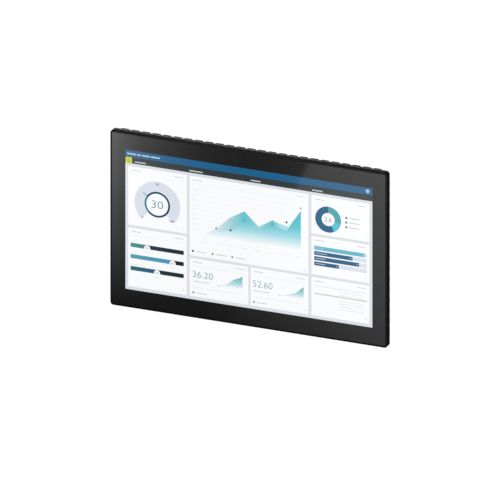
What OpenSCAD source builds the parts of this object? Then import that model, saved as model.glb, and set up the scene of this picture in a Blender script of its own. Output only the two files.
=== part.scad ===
// Fully enclosed industrial touch panel with a 21.5 inch wide screen.
// Frame: X to the right and Z up as the operator sees the screen, Y backwards.
// The origin is the centre of the mounting pad's rear face, so the panel hangs from it towards -Y.
// Depths (names ending in _d) count backwards from the outer face of the cover glass.

/* [Screen] */
// Width of the lit picture
display_w = 475.2; // [430:0.2:520]
// Height of the lit picture
display_h = 267.3; // [255:0.1:300]
// Panel border left and right of the picture
border_x = 28.6; // [28:0.2:40]
// Panel border above and below the picture
border_z = 33.8; // [32.6:0.2:45]
// Thickness of the cover glass
glass_t = 2; // [1.6:0.1:2.2]

/* [Front frame] */
// Radius of the panel's four corners
corner_r = 6; // [5:0.5:9]
// Width of the bevel round the glass
bevel_w = 2.7; // [2:0.1:3]
// Depth of the bevel round the glass
bevel_d = 1.2; // [0.8:0.1:1.8]
// Depth of the frame's outer band
frame_d = 2.8; // [2.7:0.1:3.2]
// Open joint between frame and housing, where the seal shows
joint_gap = 1; // [0.8:0.1:1.2]

/* [Housing] */
// Depth of the housing's rim, between its ribs
rim_d = 13.2; // [12.8:0.1:14.4]
// Depth of the housing's back, between its ribs
back_d = 41; // [40.5:0.5:44]
// Wall of the casting
wall = 2.5; // [2:0.1:2.7]
// Distance from rib to rib
rib_pitch = 20.2; // [19:0.1:24]
// Width of a rib
rib_w = 15.8; // [13:0.1:17]
// Height of a rib
rib_h = 3.4; // [2.6:0.1:4.4]

/* [Mounting pad] */
// Depth of the mounting pad's face
pad_d = 56; // [55.5:0.5:62]
// Side of the square pad
pad_w = 124; // [120:1:126]
// Bolt spacing of the pad, both ways
bolt_pitch = 100; // [98:1:102]
// Diameter of the threaded holes
bolt_d = 3.3; // [3:0.1:4]

/* [Connection compartment] */
// Clear width of the compartment
bay_w = 216; // [214:1:230]
// Clear height of the compartment
bay_h = 56; // [54:1:58]
// Depth of the rim that the cover closes
bay_d = 49; // [48:0.5:50]
// Width of that rim
bay_rim = 8; // [7.6:0.1:8.4]
// Thickness of the cover
cover_t = 3; // [2.5:0.1:3.5]
// Thickness of the cover's seal
cover_seal_t = 1; // [0.6:0.1:1.5]

/* [Electronics] */
// Width of the main board
board_w = 240; // [236:1:260]
// Height of the main board
board_h = 120; // [116:1:124]
// Depth of the main board's rear face
board_d = 24; // [23.5:0.1:24.5]
// Thickness of every circuit board
board_t = 1.6; // [1:0.1:2]
// Width of a memory card
card_w = 24; // [20:0.5:26]
// Thickness of a memory card
card_t = 2.1; // [1.4:0.1:2.4]
// Length of a memory card
card_l = 32; // [28:1:34]
// Pitch of the power socket's pins
pin_pitch = 5.08; // [5:0.02:5.4]

/* [Hidden] */
$fn = 48;
eps = 0.01;                         // overlap of solids that are joined
over = 1;                           // a cut runs this far past the surface

// --- sizes that follow from the ones above ---
panel_w = display_w + 2 * border_x;
panel_h = display_h + 2 * border_z;
half_w = panel_w / 2;
half_h = panel_h / 2;

// glass, its land and its tape
land = 0.5;                         // flat lip of the frame beside the glass
glass_gap = 0.3;                    // joint between glass and frame
recess_in = bevel_w + land;         // inset of the recess that takes the glass
glass_in = recess_in + glass_gap;   // inset of the glass edge
tape_t = 0.4;
tape_in = 1;                        // tape's edge inside the glass edge
tape_lap = 1;                       // tape's inner edge beyond the frame's opening
ledge_d = glass_t + tape_t;         // the frame's ledge under the tape

// optical stack behind the glass
sensor_t = 0.5;
sensor_edge = 8;                    // sensor beyond the picture
bond_t = 0.5;
bond_edge = 2;
cell_d = glass_t + sensor_t + bond_t;
cell_t = 1.4;
cell_edge_x = 5;
cell_edge_z = 6;
film_t = 0.8;
guide_t = 3;
module_edge_x = 10.2;               // display module beyond the picture
module_edge_z = 12.5;
module_w = display_w + 2 * module_edge_x;
module_h = display_h + 2 * module_edge_z;
bezel_t = 0.4;
bezel_lap = 3;                      // the bezel's opening beyond the picture
guide_edge_in = 3;                  // light guide beyond the picture
tray_t = 0.6;
tray_in = bezel_t + 0.2;            // inset of the tray's wall
tray_half_h = module_h / 2 - tray_in - tray_t;
guide_d = cell_d + cell_t + film_t;
tray_d = guide_d + guide_t;
tray_back_d = tray_d + tray_t;      // flat back of the display module
bead_h = 2.8;
module_d = tray_back_d + bead_h;    // its stiffening beads
board_seat_d = module_d + 0.6;      // plane of the two small boards on its back
bead_w = 12;
bead_in = 30;                       // beads end this far from the module's sides
module_gap = 1.7;                   // air between module and frame

// front frame
spigot_in = 2.6;                    // inset of the spigot inside the housing
spigot_to = 11;                     // inset where the spigot ends
seal_in = 1.2;                      // the seal lies this far inside the panel's edge
seal_fit = 0.2;                     // and hugs the spigot this tightly
thread_fit = 0.2;                   // a threaded hole is this much smaller than its screw, in radius
shank_fit = 0.2;                    // and a plain hole this much larger
shelf_d = 8;                        // ledge for the display brackets
opening_w = module_w + 2 * module_gap;
opening_h = module_h + 2 * module_gap;

// rear housing, as three outlines that the casting passes through
rim_front_d = frame_d + joint_gap;
rim_wall = spigot_in - 0.4;
body_corner = 16;                   // corner radius of the casting's body
pad_corner = 8;
pad_plate_t = 5;                    // wall behind the pad's face
pad_hollow_in = 11;                 // hollow under the pad stays this far inside the bolts
shoulder_d = 22;
foot_in = 13;                       // inset of the casting's foot on the rim
shoulder_in = 17;                   // inset of its shoulder
crown_in_x = 52;                    // inset of its flat back, left and right
crown_in_z = 44;                    // and above and below
flange_d = rim_d - wall;            // inner face of the rim
inner_back_d = back_d - wall;
fade_in = 30;                       // inset where the short ribs have died away
side_rib_in = 1.6;                  // short side ribs start this far inside the edge

// screws through the rim
rim_screw_in = 8;
screw_r = 1.5;
head_r = 2.75;
head_h = 1.8;
rim_screw_l = 6.5;
pocket_r = head_r + 0.9;
pocket_floor_d = rim_d - 1.2;

// connection compartment, called the bay
pad_to_bay = 2;
bay_top = -(pad_w / 2 + pad_to_bay + bay_rim);
bay_z = bay_top - bay_h / 2;
bay_floor_d = board_d - 2;
cover_d = bay_d + cover_seal_t;
cover_face_d = cover_d + cover_t;
cover_corner = 7;
cover_in = 0.2;                     // cover's edge inside the rim's
cover_screw_r = 1.5;
cover_head_r = 2.7;
cover_thread_l = 9;                 // depth of the cover screws' holes
cover_screw_end = 7;                // screw below the bay's rim
cover_screw_x = [-1, 0, 1];
cover_screw_out = bay_rim - cover_in - cover_head_r - 0.3; // screw line beyond the clear opening
seal_gap = 0.3;                     // relaxed seal's clearance to the rim

// ports along the bay's top wall
port_z = bay_top - 0.5;             // plane of the port faces
port_fit = 0.3;                     // clearance round a port in its wall
power_x = -84;
poles = 3;
header_w = poles * pin_pitch + 5;
header_h = 12;
header_l = 12;
header_wall = 1.2;
ethernet_x = [-57, -37];
rj_w = 16;
rj_h = 13.3;
rj_l = 21;
usb_x = [-17, 1, 19];
usb_w = 14.4;
usb_h = 7.2;
usb_l = 17;
serial_x = 45;
serial_w = 31;
serial_h = 12.6;
card_x = 80;
slot_w = card_w + 4;
slot_l = card_l - 3;
card_proud = 4;
card_fit = 0.2;
card_levels = [board_d + 1.6, board_d + 7.2];
slot_h = card_levels[1] + card_t + card_fit + 1.2 - board_d;

// earth stud on the bay's floor
earth_x = -(bay_w / 2 - 9);
earth_z = bay_z - 12;

// cable entry in the bay's bottom wall
bay_bottom = bay_top - bay_h;
entry_d = bay_d - 7;                // depth of the grommets' centre line
entry_pitch = 26;
entry_count = 4;
grommet_r = 4.6;
grommet_lip = 1.2;
plate_screw_r = 1.3;
plate_w = entry_pitch * entry_count + 22;
plate_h = 12.8;
plate_t = 3;
plate_gap = 1.5;                    // air left and right of the plate in its notch
plate_screw_in = 5;                 // screws from the plate's ends
plate_head_r = 2.6;

// main board and the bosses that carry it
board_z = bay_top + wall + 0.6 + board_h / 2;
boss_r = 3.6;
boss_in = 6;                        // bosses from the board's sides
boss_thread_l = 7;
boss_x = board_w / 2 - boss_in;
boss_z = [board_z - board_h / 2 + 22, board_z + board_h / 2 - 8];
cpu_x = -78;
cpu_z = 6;
cpu_w = 32;
cpu_t = 2.6;
pad_t = 1;

// --- helpers ---
// Y of the plane that lies d behind the glass
function y_at(d) = d - pad_d;

// outline in X and Z, given depth from d0 to d1
module slab(d0, d1) {
    translate([0, y_at(d1), 0]) rotate([90, 0, 0]) linear_extrude(d1 - d0) children();
}

// rectangle with round corners, centred
module rounded(w, h, r) {
    square([w - 2 * r, h], center = true);
    square([w, h - 2 * r], center = true);
    for (sx = [-1, 1], sz = [-1, 1]) translate([sx * (w / 2 - r), sz * (h / 2 - r)]) circle(r);
}

// the panel's outline, moved inwards
module outline(inset = 0) {
    rounded(panel_w - 2 * inset, panel_h - 2 * inset, max(corner_r - inset, 0.8));
}

// round bar along the depth
module bar(r, d0, d1) {
    translate([0, y_at(d1), 0]) rotate([90, 0, 0]) cylinder(r = r, h = d1 - d0);
}

// block given by its centre in X, its lowest Z, its size, and its two depths
module block(x, z0, w, h, d0, d1) {
    translate([x - w / 2, y_at(d0), z0]) cube([w, d1 - d0, h]);
}

// --- glass, frame and seal ---
module cover_glass() {
    color("#15171a") slab(0, glass_t) outline(glass_in);
}

module glass_tape() {
    color("#202020") slab(glass_t, ledge_d) difference() {
        outline(glass_in + tape_in);
        square([opening_w + 2 * tape_lap, opening_h + 2 * tape_lap], center = true);
    }
}

// bevelled front band: cones at the corners and a wedge along each side
module bevel_band() {
    for (sx = [-1, 1], sz = [-1, 1])
        translate([sx * (half_w - corner_r), y_at(bevel_d), sz * (half_h - corner_r)])
            rotate([90, 0, 0]) cylinder(r1 = corner_r, r2 = corner_r - bevel_w, h = bevel_d);
    translate([0, y_at(0), 0]) {
        translate([-(half_w - corner_r), 0, 0]) rotate([90, 0, 90])
            linear_extrude(panel_w - 2 * corner_r) bevel_profile(half_h);
        translate([0, 0, -(half_h - corner_r)])
            linear_extrude(panel_h - 2 * corner_r) rotate([0, 0, 90]) mirror([0, 1]) bevel_profile(half_w);
    }
}

// section across the whole panel: first coordinate across, second depth
module bevel_profile(half) {
    polygon([[0, half - bevel_w], [bevel_d, half], [bevel_d, -half], [0, -half + bevel_w]]);
}

module front_frame() {
    color("#1c1d1f") difference() {
        union() {
            bevel_band();
            slab(bevel_d, frame_d) outline();
            slab(frame_d - eps, flange_d) outline(spigot_in);
        }
        slab(-over, ledge_d) outline(recess_in);
        slab(shelf_d, flange_d + over) outline(spigot_to);
        slab(0, shelf_d + over) square([opening_w, opening_h], center = true);
        at_rim_screws() bar(screw_r - thread_fit, pocket_floor_d - rim_screw_l - 0.2, flange_d + over);
        at_bracket_screws() bar(bracket_screw_r, bracket_hole_d, shelf_d + over);
    }
}

module frame_seal() {
    color("#0c0c0c") slab(frame_d, rim_front_d) difference() {
        outline(seal_in);
        outline(spigot_in - seal_fit);
    }
}

// --- rear housing ---
// children at each screw that joins housing and frame, in the valleys between the ribs
function screw_valley(x) = (floor(x / rib_pitch) + 0.5) * rib_pitch;
rim_screws_x = [screw_valley(half_w - 21), screw_valley(half_w * 0.6), screw_valley(half_w * 0.2)];
rim_screws_z = [screw_valley(half_h * 0.33)];

module at_rim_screws() {
    for (s = [-1, 1]) {
        for (x = rim_screws_x, sx = [-1, 1])
            translate([sx * x, 0, s * (half_h - rim_screw_in)]) children();
        for (z = rim_screws_z, sz = [-1, 1])
            translate([s * (half_w - rim_screw_in), 0, sz * z]) children();
    }
}

// loft of the casting's body through its foot, shoulder and crown outlines, moved inwards by inner
module casting_body(inner = 0) {
    levels = [[rim_d - inner, foot_in, foot_in],
              [shoulder_d - inner / 2, shoulder_in, shoulder_in],
              [back_d - inner, crown_in_x - inner / 2, crown_in_z - inner / 2]];
    hull() for (l = levels)
        slab(l[0] - 0.1, l[0])
            rounded(panel_w - 2 * (l[1] + inner), panel_h - 2 * (l[2] + inner), body_corner, $fn = 32);
}

// corners of the casting's outline in a plane through a rib: distance from the middle, and depth
function foot(half) = [half - foot_in, rim_d];
function shoulder(half) = [half - shoulder_in, shoulder_d];
function crown(half, crown_in) = [half - crown_in, back_d];
function between(a, b, share) = a + (b - a) * share;
// path that a rib follows over the casting, edge first; it turns just past each of the casting's corners
function rib_start(half, crown_in, start_in) = [[half - start_in, rim_d],
    between(foot(half), shoulder(half), foot_turn), between(shoulder(half), crown(half, crown_in), turn)];
function rib_path(half, crown_in) = concat(rib_start(half, crown_in, 0),
    [between(crown(half, crown_in), [0, back_d], turn)]);
// the same path, but it dies away on the slope above the shoulder
function short_path(half, crown_in, start_in = 0) = concat(rib_start(half, crown_in, start_in),
    [between(shoulder(half), crown(half, crown_in), (fade_in - shoulder_in) / (crown_in - shoulder_in))]);
foot_turn = 0.05;                   // share of the foot's slope
turn = 0.015;                       // share of the next slope

// unit normal of the path's piece i, pointing out of the casting
function normal(p, i) = let (a = p[i], b = p[i + 1], n = [b[1] - a[1], a[0] - b[0]]) n / norm(n);
// corner i of the path moved out by h, mitred
function mitre(p, i, h) = let (last = len(p) - 1,
    n0 = normal(p, max(i - 1, 0)), n1 = normal(p, min(i, last - 1))) p[i] + (n0 + n1) * h / (1 + n0 * n1);

// half a rib's section, a quarter of an ellipse: share of its height, and half its width there
rib_sink = 0.6;                     // a rib starts this deep in the casting
rib_round = 5;                      // width of the round on a rib's edge
rib_section = [for (a = [0 : 30 : 90]) [sin(a), rib_w / 2 - rib_round * (1 - cos(a))]];

// a rib swept along a path; heights holds its share of rib_h at each corner of the path
module rib(path, heights) {
    n = len(rib_section);
    ring = 2 * n;
    function level(k, i) = mitre(path, i, -rib_sink + (rib_h + rib_sink) * rib_section[k][0] * heights[i]);
    points = [for (i = [0 : len(path) - 1]) each concat(
        [for (k = [0 : n - 1]) let (q = level(k, i)) [rib_section[k][1], q[0], q[1]]],
        [for (k = [n - 1 : -1 : 0]) let (q = level(k, i)) [-rib_section[k][1], q[0], q[1]]])];
    faces = concat(
        [[for (k = [0 : ring - 1]) k]],
        [for (i = [0 : len(path) - 2], k = [0 : ring - 1])
            [i * ring + k, (i + 1) * ring + k, (i + 1) * ring + (k + 1) % ring, i * ring + (k + 1) % ring]],
        [[for (k = [ring - 1 : -1 : 0]) (len(path) - 1) * ring + k]]);
    polyhedron(points, faces, convexity = 4);
}

// a rib's own axes (across, along, depth) set into the row frame
module stand_up() {
    multmatrix([[1, 0, 0, 0], [0, 0, 1, -pad_d], [0, 1, 0, 0], [0, 0, 0, 1]]) children();
}

function mirrored(p) = [for (i = [len(p) - 1 : -1 : 0]) [-p[i][0], p[i][1]]];
long_path = let (p = rib_path(half_h, crown_in_z)) concat(p, mirrored(p));
rim_path = [[half_h, rim_d], [half_h - foot_in, rim_d]];
long_ribs = floor((half_w - crown_in_x - rib_w / 2) / rib_pitch);
short_ribs = floor((half_w - shoulder_in - body_corner) / rib_pitch);
rim_ribs = floor(half_w / rib_pitch);
side_ribs = floor((half_h - foot_in - rib_w / 2) / rib_pitch);
faded = [1, 1, 1, 0.05];            // shares of a rib's height along a short path
stub = [1, 0.6];                    // and on the rim alone

module cooling_ribs() {
    stand_up() {
        for (i = [-long_ribs : long_ribs]) translate([i * rib_pitch, 0, 0])
            rib(long_path, [for (p = long_path) 1]);
        for (s = [0, 1], m = [0, 1]) mirror([0, s, 0]) mirror([m, 0, 0]) {
            for (i = [long_ribs + 1 : short_ribs]) translate([i * rib_pitch, 0, 0])
                rib(short_path(half_h, crown_in_z), faded);
            for (i = [short_ribs + 1 : rim_ribs]) translate([i * rib_pitch, 0, 0]) rib(rim_path, stub);
        }
    }
    for (s = [-1, 1]) rotate([0, s * 90, 0]) stand_up()
        for (i = [-side_ribs : side_ribs]) translate([i * rib_pitch, 0, 0])
            rib(short_path(half_w, crown_in_x, side_rib_in), faded);
}

module rear_housing() {
    color("#2b2d30") difference() {
        union() {
            difference() {
                union() {
                    slab(rim_front_d, rim_d) outline();
                    casting_body();
                    intersection() {
                        cooling_ribs();
                        union() {
                            slab(rim_front_d, rim_d + rib_h) outline();
                            casting_body(-rib_h);
                        }
                    }
                    slab(inner_back_d, pad_d) rounded(pad_w, pad_w, pad_corner);
                    slab(inner_back_d, bay_d) bay_outline(bay_rim);
                }
                slab(rim_front_d - over, flange_d) outline(rim_wall);
                casting_body(wall);
                slab(inner_back_d - over, pad_d - pad_plate_t)
                    rounded(pad_hollow, pad_hollow, pad_corner / 2);
            }
            bay_walls();
            at_board_bosses() bar(boss_r, board_d, inner_back_d + over);
            block(cpu_x, cpu_z - cpu_w / 2, cpu_w, cpu_w, board_d + cpu_t + pad_t, inner_back_d + over);
        }
        slab(bay_floor_d, bay_d + over) bay_outline(0);
        ports_through_wall();
        at_rim_screws() {
            bar(screw_r + shank_fit, flange_d - over, rim_d + over);
            bar(pocket_r, pocket_floor_d, rim_d + 3 * rib_h);
        }
        at_cover_screws() bar(cover_screw_r + 0.05, bay_d - cover_thread_l, bay_d + over);
        at_inserts() bar(insert_r, pad_d - insert_l, pad_d + over);
        at_board_bosses() bar(screw_r - thread_fit, board_d - over, board_d + boss_thread_l);
        plate_notch();
        at_grommets() translate([0, 0, -over]) cylinder(r = grommet_r, h = grommet_end);
        at_plate_screws() translate([0, 0, bay_rim - plate_thread_l]) cylinder(r = plate_screw_r, h = 12);
        translate([earth_x, 0, earth_z]) bar(earth_r, bay_floor_d - earth_sink, bay_floor_d + over);
    }
}
pad_hollow = bolt_pitch - 2 * pad_hollow_in;

// flat notch in the ribs below the bay, where the cable plate sits
module plate_notch() {
    notch_h = plate_t + 5;
    notch_top_d = entry_d - plate_h / 2 - 0.8;
    block(0, bay_bottom - bay_rim - notch_h, plate_w + 2 * plate_gap, notch_h, notch_top_d, pad_d);
}

// outline of the bay's clear opening, grown
module bay_outline(grow) {
    translate([0, bay_z]) rounded(bay_w + 2 * grow, bay_h + 2 * grow, grow > 0 ? cover_corner : 3);
}

// tub of the bay inside the casting, and its thick bottom wall outside
module bay_walls() {
    slab(bay_floor_d - wall, inner_back_d + over) bay_outline(wall);
    block(0, bay_bottom - bay_rim, bay_w + 2 * bay_rim - 2 * cover_corner, bay_rim, bay_wall_d,
          inner_back_d + over);
}
bay_wall_d = 30;                    // the bottom wall starts at this depth

// one port's hole in the bay's top wall
module port_hole(x, w, d0, d1) {
    block(x, bay_top - over, w + 2 * port_fit, wall + 2 * over, d0 - port_fit, d1 + port_fit);
}

module ports_through_wall() {
    port_hole(power_x, header_w, board_d, board_d + header_h);
    for (x = ethernet_x) port_hole(x, rj_w, board_d, board_d + rj_h);
    for (x = usb_x) port_hole(x, usb_w, board_d, board_d + usb_h);
    port_hole(serial_x, serial_w, board_d, board_d + serial_h);
    port_hole(card_x, slot_w, board_d, board_d + slot_h);
}

module at_board_bosses() {
    for (sx = [-1, 1], z = boss_z) translate([sx * boss_x, 0, z]) children();
}

// screw with its head towards the back; d is the plane its head sits on
module cap_screw(r, length, d, hr, hh) {
    bar(r, d - length, d + eps);
    difference() {
        bar(hr, d, d + hh);
        translate([0, y_at(d + hh), 0]) rotate([90, 0, 0]) star_socket(hr * 0.55, hh * 0.6);
    }
}

// six-lobed driver socket, cut downwards from the head's top
module star_socket(r, depth) {
    translate([0, 0, -eps]) linear_extrude(depth) {
        circle(r * 0.72);
        for (a = [0 : 60 : 300]) rotate(a) translate([r * 0.76, 0]) circle(r * 0.24);
    }
}

module housing_screws() {
    color("#8d9094") at_rim_screws()
        cap_screw(screw_r - thread_slack, rim_screw_l, pocket_floor_d, head_r, head_h);
}

thread_slack = 0.25;                // a screw is drawn this much thinner than its thread, in radius

// --- display module and touch ---
module centred_slab(w, h, d0, d1) {
    slab(d0, d1) square([w, h], center = true);
}

module touch_sensor() {
    color("#3c4a52")
        centred_slab(display_w + 2 * sensor_edge, display_h + 2 * sensor_edge, glass_t, glass_t + sensor_t);
}

module optical_bond() {
    color("#9fb4bd")
        centred_slab(display_w + 2 * bond_edge, display_h + 2 * bond_edge, glass_t + sensor_t, cell_d);
}

module lcd_cell() {
    color("#24303a")
        centred_slab(display_w + 2 * cell_edge_x, display_h + 2 * cell_edge_z, cell_d, cell_d + cell_t);
}

module lcd_bezel() {
    color("#b9bdc0") {
        slab(cell_d - bezel_t, cell_d) difference() {
            square([module_w, module_h], center = true);
            square([display_w + 2 * bezel_lap, display_h + 2 * bezel_lap], center = true);
        }
        slab(cell_d - eps, tray_back_d) difference() {
            square([module_w, module_h], center = true);
            square([module_w - 2 * bezel_t, module_h - 2 * bezel_t], center = true);
        }
    }
}

module diffuser_films() {
    color("#eef1f2") centred_slab(display_w + 2 * guide_edge_in, display_h + 2 * guide_edge_in,
                                 cell_d + cell_t, guide_d);
}

module light_guide() {
    color("#dfe8ea")
        centred_slab(display_w + 2 * guide_edge_in, display_h + 2 * guide_edge_in, guide_d, tray_d);
}

led_pitch = 12;
led_w = 5;
led_h = 1.2;
led_gap = 0.4;                      // air between the lamps and the light guide's edge
module led_bar() {
    bar_top = display_h / 2 + guide_edge_in + led_gap + led_h;
    count = floor((display_w - led_w) / 2 / led_pitch);
    color("#f0e6b0") {
        block(0, -tray_half_h, display_w, tray_half_h - bar_top, guide_d, tray_d);
        for (i = [-count : count])
            block(i * led_pitch, -bar_top - eps, led_w, led_h, guide_d + led_gap, tray_d - led_gap);
    }
}

// plastic ring that keeps the cell in place, between the bezel and the tray
module mid_frame() {
    outside = 2 * (bezel_t + ring_fit);
    inside_x = 2 * (cell_edge_x + cell_fit);
    inside_z = 2 * (cell_edge_z + cell_fit);
    color("#e8e8e4") slab(cell_d, guide_d) difference() {
        square([module_w - outside, module_h - outside], center = true);
        square([display_w + inside_x, display_h + inside_z], center = true);
    }
}
ring_fit = 0.2;                     // clearance between the ring and the bezel
cell_fit = 0.3;                     // clearance between the ring and the cell

module backlight_tray() {
    inside = 2 * tray_in;
    color("#c9cdd0") {
        centred_slab(module_w - inside, module_h - inside, tray_d, tray_back_d);
        slab(guide_d, tray_d + eps) difference() {
            square([module_w - inside, module_h - inside], center = true);
            square([module_w - inside - 2 * tray_t, module_h - inside - 2 * tray_t], center = true);
        }
        for (z = [-1, 0, 1]) slab(tray_back_d - eps, module_d)
            translate([0, z * bead_pitch]) rounded(module_w - 2 * bead_in, bead_w, bead_w / 2 - 1);
    }
}

bead_pitch = module_h / 3;

bracket_l = 64;
bracket_t = 1.2;
bracket_screw_r = 1.25;
bracket_screw_out = 4;              // screw line beyond the module's side
bracket_foot = 5.9;                 // foot's edge beyond the module's side
bracket_arm = 9;                    // arm over the module's back
bracket_gap = 0.3;                  // air between a bracket's leg and the module
bracket_hole_d = frame_d + 1;       // the brackets' holes end at this depth
bracket_head_h = 0.7;

// children beside the module's left and right sides, with +X into the module
module at_brackets() {
    for (m = [0, 1], z = [-1, 1]) mirror([m, 0, 0])
        translate([-module_w / 2, 0, z * module_h / 4]) children();
}

module at_bracket_screws() {
    at_brackets() for (s = [-1, 1]) translate([-bracket_screw_out, 0, s * bracket_l / 3]) children();
}

module lcd_brackets() {
    leg = bracket_gap + bracket_t;
    end_d = tray_back_d + bracket_t;
    color("#a8adb0") difference() {
        at_brackets() {
            bracket_strip(-bracket_foot, -bracket_gap, shelf_d, shelf_d + bracket_t);
            bracket_strip(-leg, -bracket_gap, shelf_d, end_d);
            bracket_strip(-leg, bracket_arm, tray_back_d, end_d);
        }
        at_bracket_screws() bar(bracket_screw_r + 0.1, shelf_d - over, shelf_d + bracket_t + over);
    }
}

// strip of a bracket from x0 to x1
module bracket_strip(x0, x1, d0, d1) {
    block((x0 + x1) / 2, -bracket_l / 2, x1 - x0, bracket_l, d0, d1);
}

module bracket_screws() {
    seat_d = shelf_d + bracket_t;
    color("#8d9094") at_bracket_screws() {
        bar(bracket_screw_r - 0.1, bracket_hole_d + 0.6, seat_d + eps);
        bar(bracket_screw_r + 0.5, seat_d, seat_d + bracket_head_h);
    }
}

// small boards on posts on the module's back
post_r = 2;
post_in = 8;                        // posts from the driver board's ends
chip_w = 12;
driver_w = 96;
driver_h = 40;
driver_gap = 1.8;                   // air between the driver board and the main board
driver_x = -(board_w / 2 + driver_gap + driver_w / 2);
driver_z = 34;
coil_pitch = 30;
coil_h = 3;
module backlight_driver() {
    face_d = board_seat_d + board_t;
    color("#1f6b3a") {
        block(driver_x, driver_z - driver_h / 2, driver_w, driver_h, board_seat_d, face_d);
        for (i = [-1 : 1])
            block(driver_x + i * coil_pitch, driver_z - chip_w, chip_w, chip_w, face_d - eps,
                  face_d + coil_h);
        for (s = [-1, 1]) translate([driver_x + s * (driver_w / 2 - post_in), 0, driver_z])
            bar(post_r, tray_back_d, board_seat_d + eps);
    }
}

controller_w = 60;
controller_h = 24;
controller_in = 30;                 // controller board from the module's right side
controller_x = module_w / 2 - controller_in - controller_w / 2;
controller_z = -(display_h / 2 - controller_h);
module touch_controller() {
    face_d = board_seat_d + board_t;
    color("#1f6b3a") {
        block(controller_x, controller_z - controller_h / 2, controller_w, controller_h, board_seat_d,
              face_d);
        block(controller_x, controller_z - 5, chip_w, chip_w, face_d - eps, face_d + 1.2);
        for (s = [-1, 1]) translate([controller_x + s * (controller_w / 2 - 5), 0, controller_z])
            bar(post_r, tray_back_d, board_seat_d + eps);
    }
}

flex_t = 0.25;
flex_w = 20;
module touch_cable() {
    gap_z = -(module_h / 2 + module_gap / 2);
    sensor_edge_z = -(display_h / 2 + sensor_edge);
    front_d = glass_t + 0.1;
    rear_d = board_seat_d + 0.6;
    color("#b07b2c") {
        block(controller_x, gap_z, flex_w, sensor_edge_z - gap_z - eps, front_d, front_d + flex_t);
        block(controller_x, gap_z, flex_w, flex_t, front_d, rear_d);
        block(controller_x, gap_z, flex_w, controller_z - controller_h / 2 - gap_z, rear_d - flex_t, rear_d);
    }
}

// --- electronics ---
module main_board() {
    color("#1d5f3b") difference() {
        block(0, board_z - board_h / 2, board_w, board_h, board_d - board_t, board_d);
        at_board_bosses() bar(screw_r + 0.1, board_d - board_t - over, board_d + over);
    }
}

module board_screws() {
    color("#8d9094") at_board_bosses() {
        bar(screw_r - thread_slack, board_d - board_t - eps, board_d + boss_thread_l - 1);
        bar(head_r, board_d - board_t - head_h, board_d - board_t);
    }
}

module processor() {
    color("#3a3d40") block(cpu_x, cpu_z - cpu_w / 2 + 2, cpu_w - 4, cpu_w - 4, board_d, board_d + cpu_t);
}

module thermal_pad() {
    color("#8fa7b8") block(cpu_x, cpu_z - cpu_w / 2, cpu_w, cpu_w, board_d + cpu_t, board_d + cpu_t + pad_t);
}

// memory chips, round capacitors, coils and the bridge chip
memory_pitch = 16;
can_pitch = 14;
can_r = 4;
can_h = 9;
bridge_w = 24;
module board_parts() {
    color("#2a2a2c") {
        for (i = [0 : 3]) block(-20 + i * memory_pitch, board_z + 4, 11, 14, board_d, board_d + 1.2);
        for (i = [0 : 4]) translate([34 + i * can_pitch, 0, board_z + board_h / 2 - 26])
            bar(can_r, board_d, board_d + can_h);
        for (i = [0 : 1]) block(40 + i * coil_pitch, board_z - 18, 14, 14, board_d, board_d + 6);
        block(0, board_z - bridge_w, bridge_w, bridge_w, board_d, board_d + 2);
    }
}

// flat cable from the main board, round its upper edge and to the display below the upper bead
display_cable_x = 60;
display_cable_w = 30;
plug_h = 6;                         // height of the connectors at its ends
bend_out = 8;                       // bend above the board's edge
bead_gap = 8.3;                     // connector to bead
module display_cable() {
    bend_z = board_z + board_h / 2 + bend_out;
    socket_z = bead_pitch - bead_w / 2 - bead_gap - plug_h;
    over_board_d = board_d + 0.8;
    over_tray_d = module_d + 1.4;
    color("#c9c4b8") {
        block(display_cable_x, bend_z - bend_out - plug_h, display_cable_w, plug_h, board_d, board_d + 2.4);
        block(display_cable_x, bend_z - bend_out - eps, display_cable_w, bend_out, over_board_d,
              over_board_d + flex_t);
        block(display_cable_x, bend_z - flex_t, display_cable_w, flex_t, over_tray_d, over_board_d + flex_t);
        block(display_cable_x, bend_z - flex_t, display_cable_w, socket_z + plug_h / 2 - bend_z, over_tray_d,
              over_tray_d + flex_t);
        block(display_cable_x, socket_z, display_cable_w + 4, plug_h, tray_back_d, over_tray_d + 2 * flex_t);
    }
}

lead_r = 0.9;
lead_in = 24;                       // the lead meets the main board this far inside its edge
module backlight_lead() {
    lead_d = board_seat_d + 1;
    lead_z = driver_z + 6;
    start_x = driver_x + driver_w / 2;
    end_x = -board_w / 2 + lead_in;
    color("#d8d8d8") {
        translate([start_x, y_at(lead_d), lead_z]) rotate([0, 90, 0])
            cylinder(r = lead_r, h = end_x - start_x);
        translate([end_x, y_at(lead_d), lead_z]) sphere(lead_r);
        translate([end_x, y_at(board_d - board_t), lead_z]) rotate([90, 0, 0])
            cylinder(r = lead_r, h = board_d - board_t - lead_d);
    }
}

battery_x = 92;
battery_z = -14;
battery_r = 10;
battery_t = 3.2;
battery_seat_d = board_d + 1.4;     // floor of the battery's holder
module backup_battery() {
    color("#c4c7c9") translate([battery_x, 0, battery_z])
        bar(battery_r, battery_seat_d, battery_seat_d + battery_t);
}

module battery_holder() {
    color("#f2f2ee") translate([battery_x, 0, battery_z]) difference() {
        bar(battery_r + 1.6, board_d, battery_seat_d + battery_t - 0.4);
        bar(battery_r + 0.1, battery_seat_d, battery_seat_d + battery_t + over);
    }
}

// --- ports ---
module power_socket() {
    color("#2f8f4e") {
        difference() {
            block(power_x, port_z, header_w, header_l, board_d, board_d + header_h);
            block(power_x, port_z - 1, header_w - 2 * header_wall, header_l - 2, board_d + header_wall,
                  board_d + header_h - header_wall);
        }
        at_poles() translate([0, 0, port_z + 2.5]) cylinder(r = 0.6, h = header_l - 5.5 + eps);
    }
}

module at_poles() {
    for (i = [0 : poles - 1])
        translate([power_x + (i - (poles - 1) / 2) * pin_pitch, y_at(board_d + header_h / 2), 0]) children();
}

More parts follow.
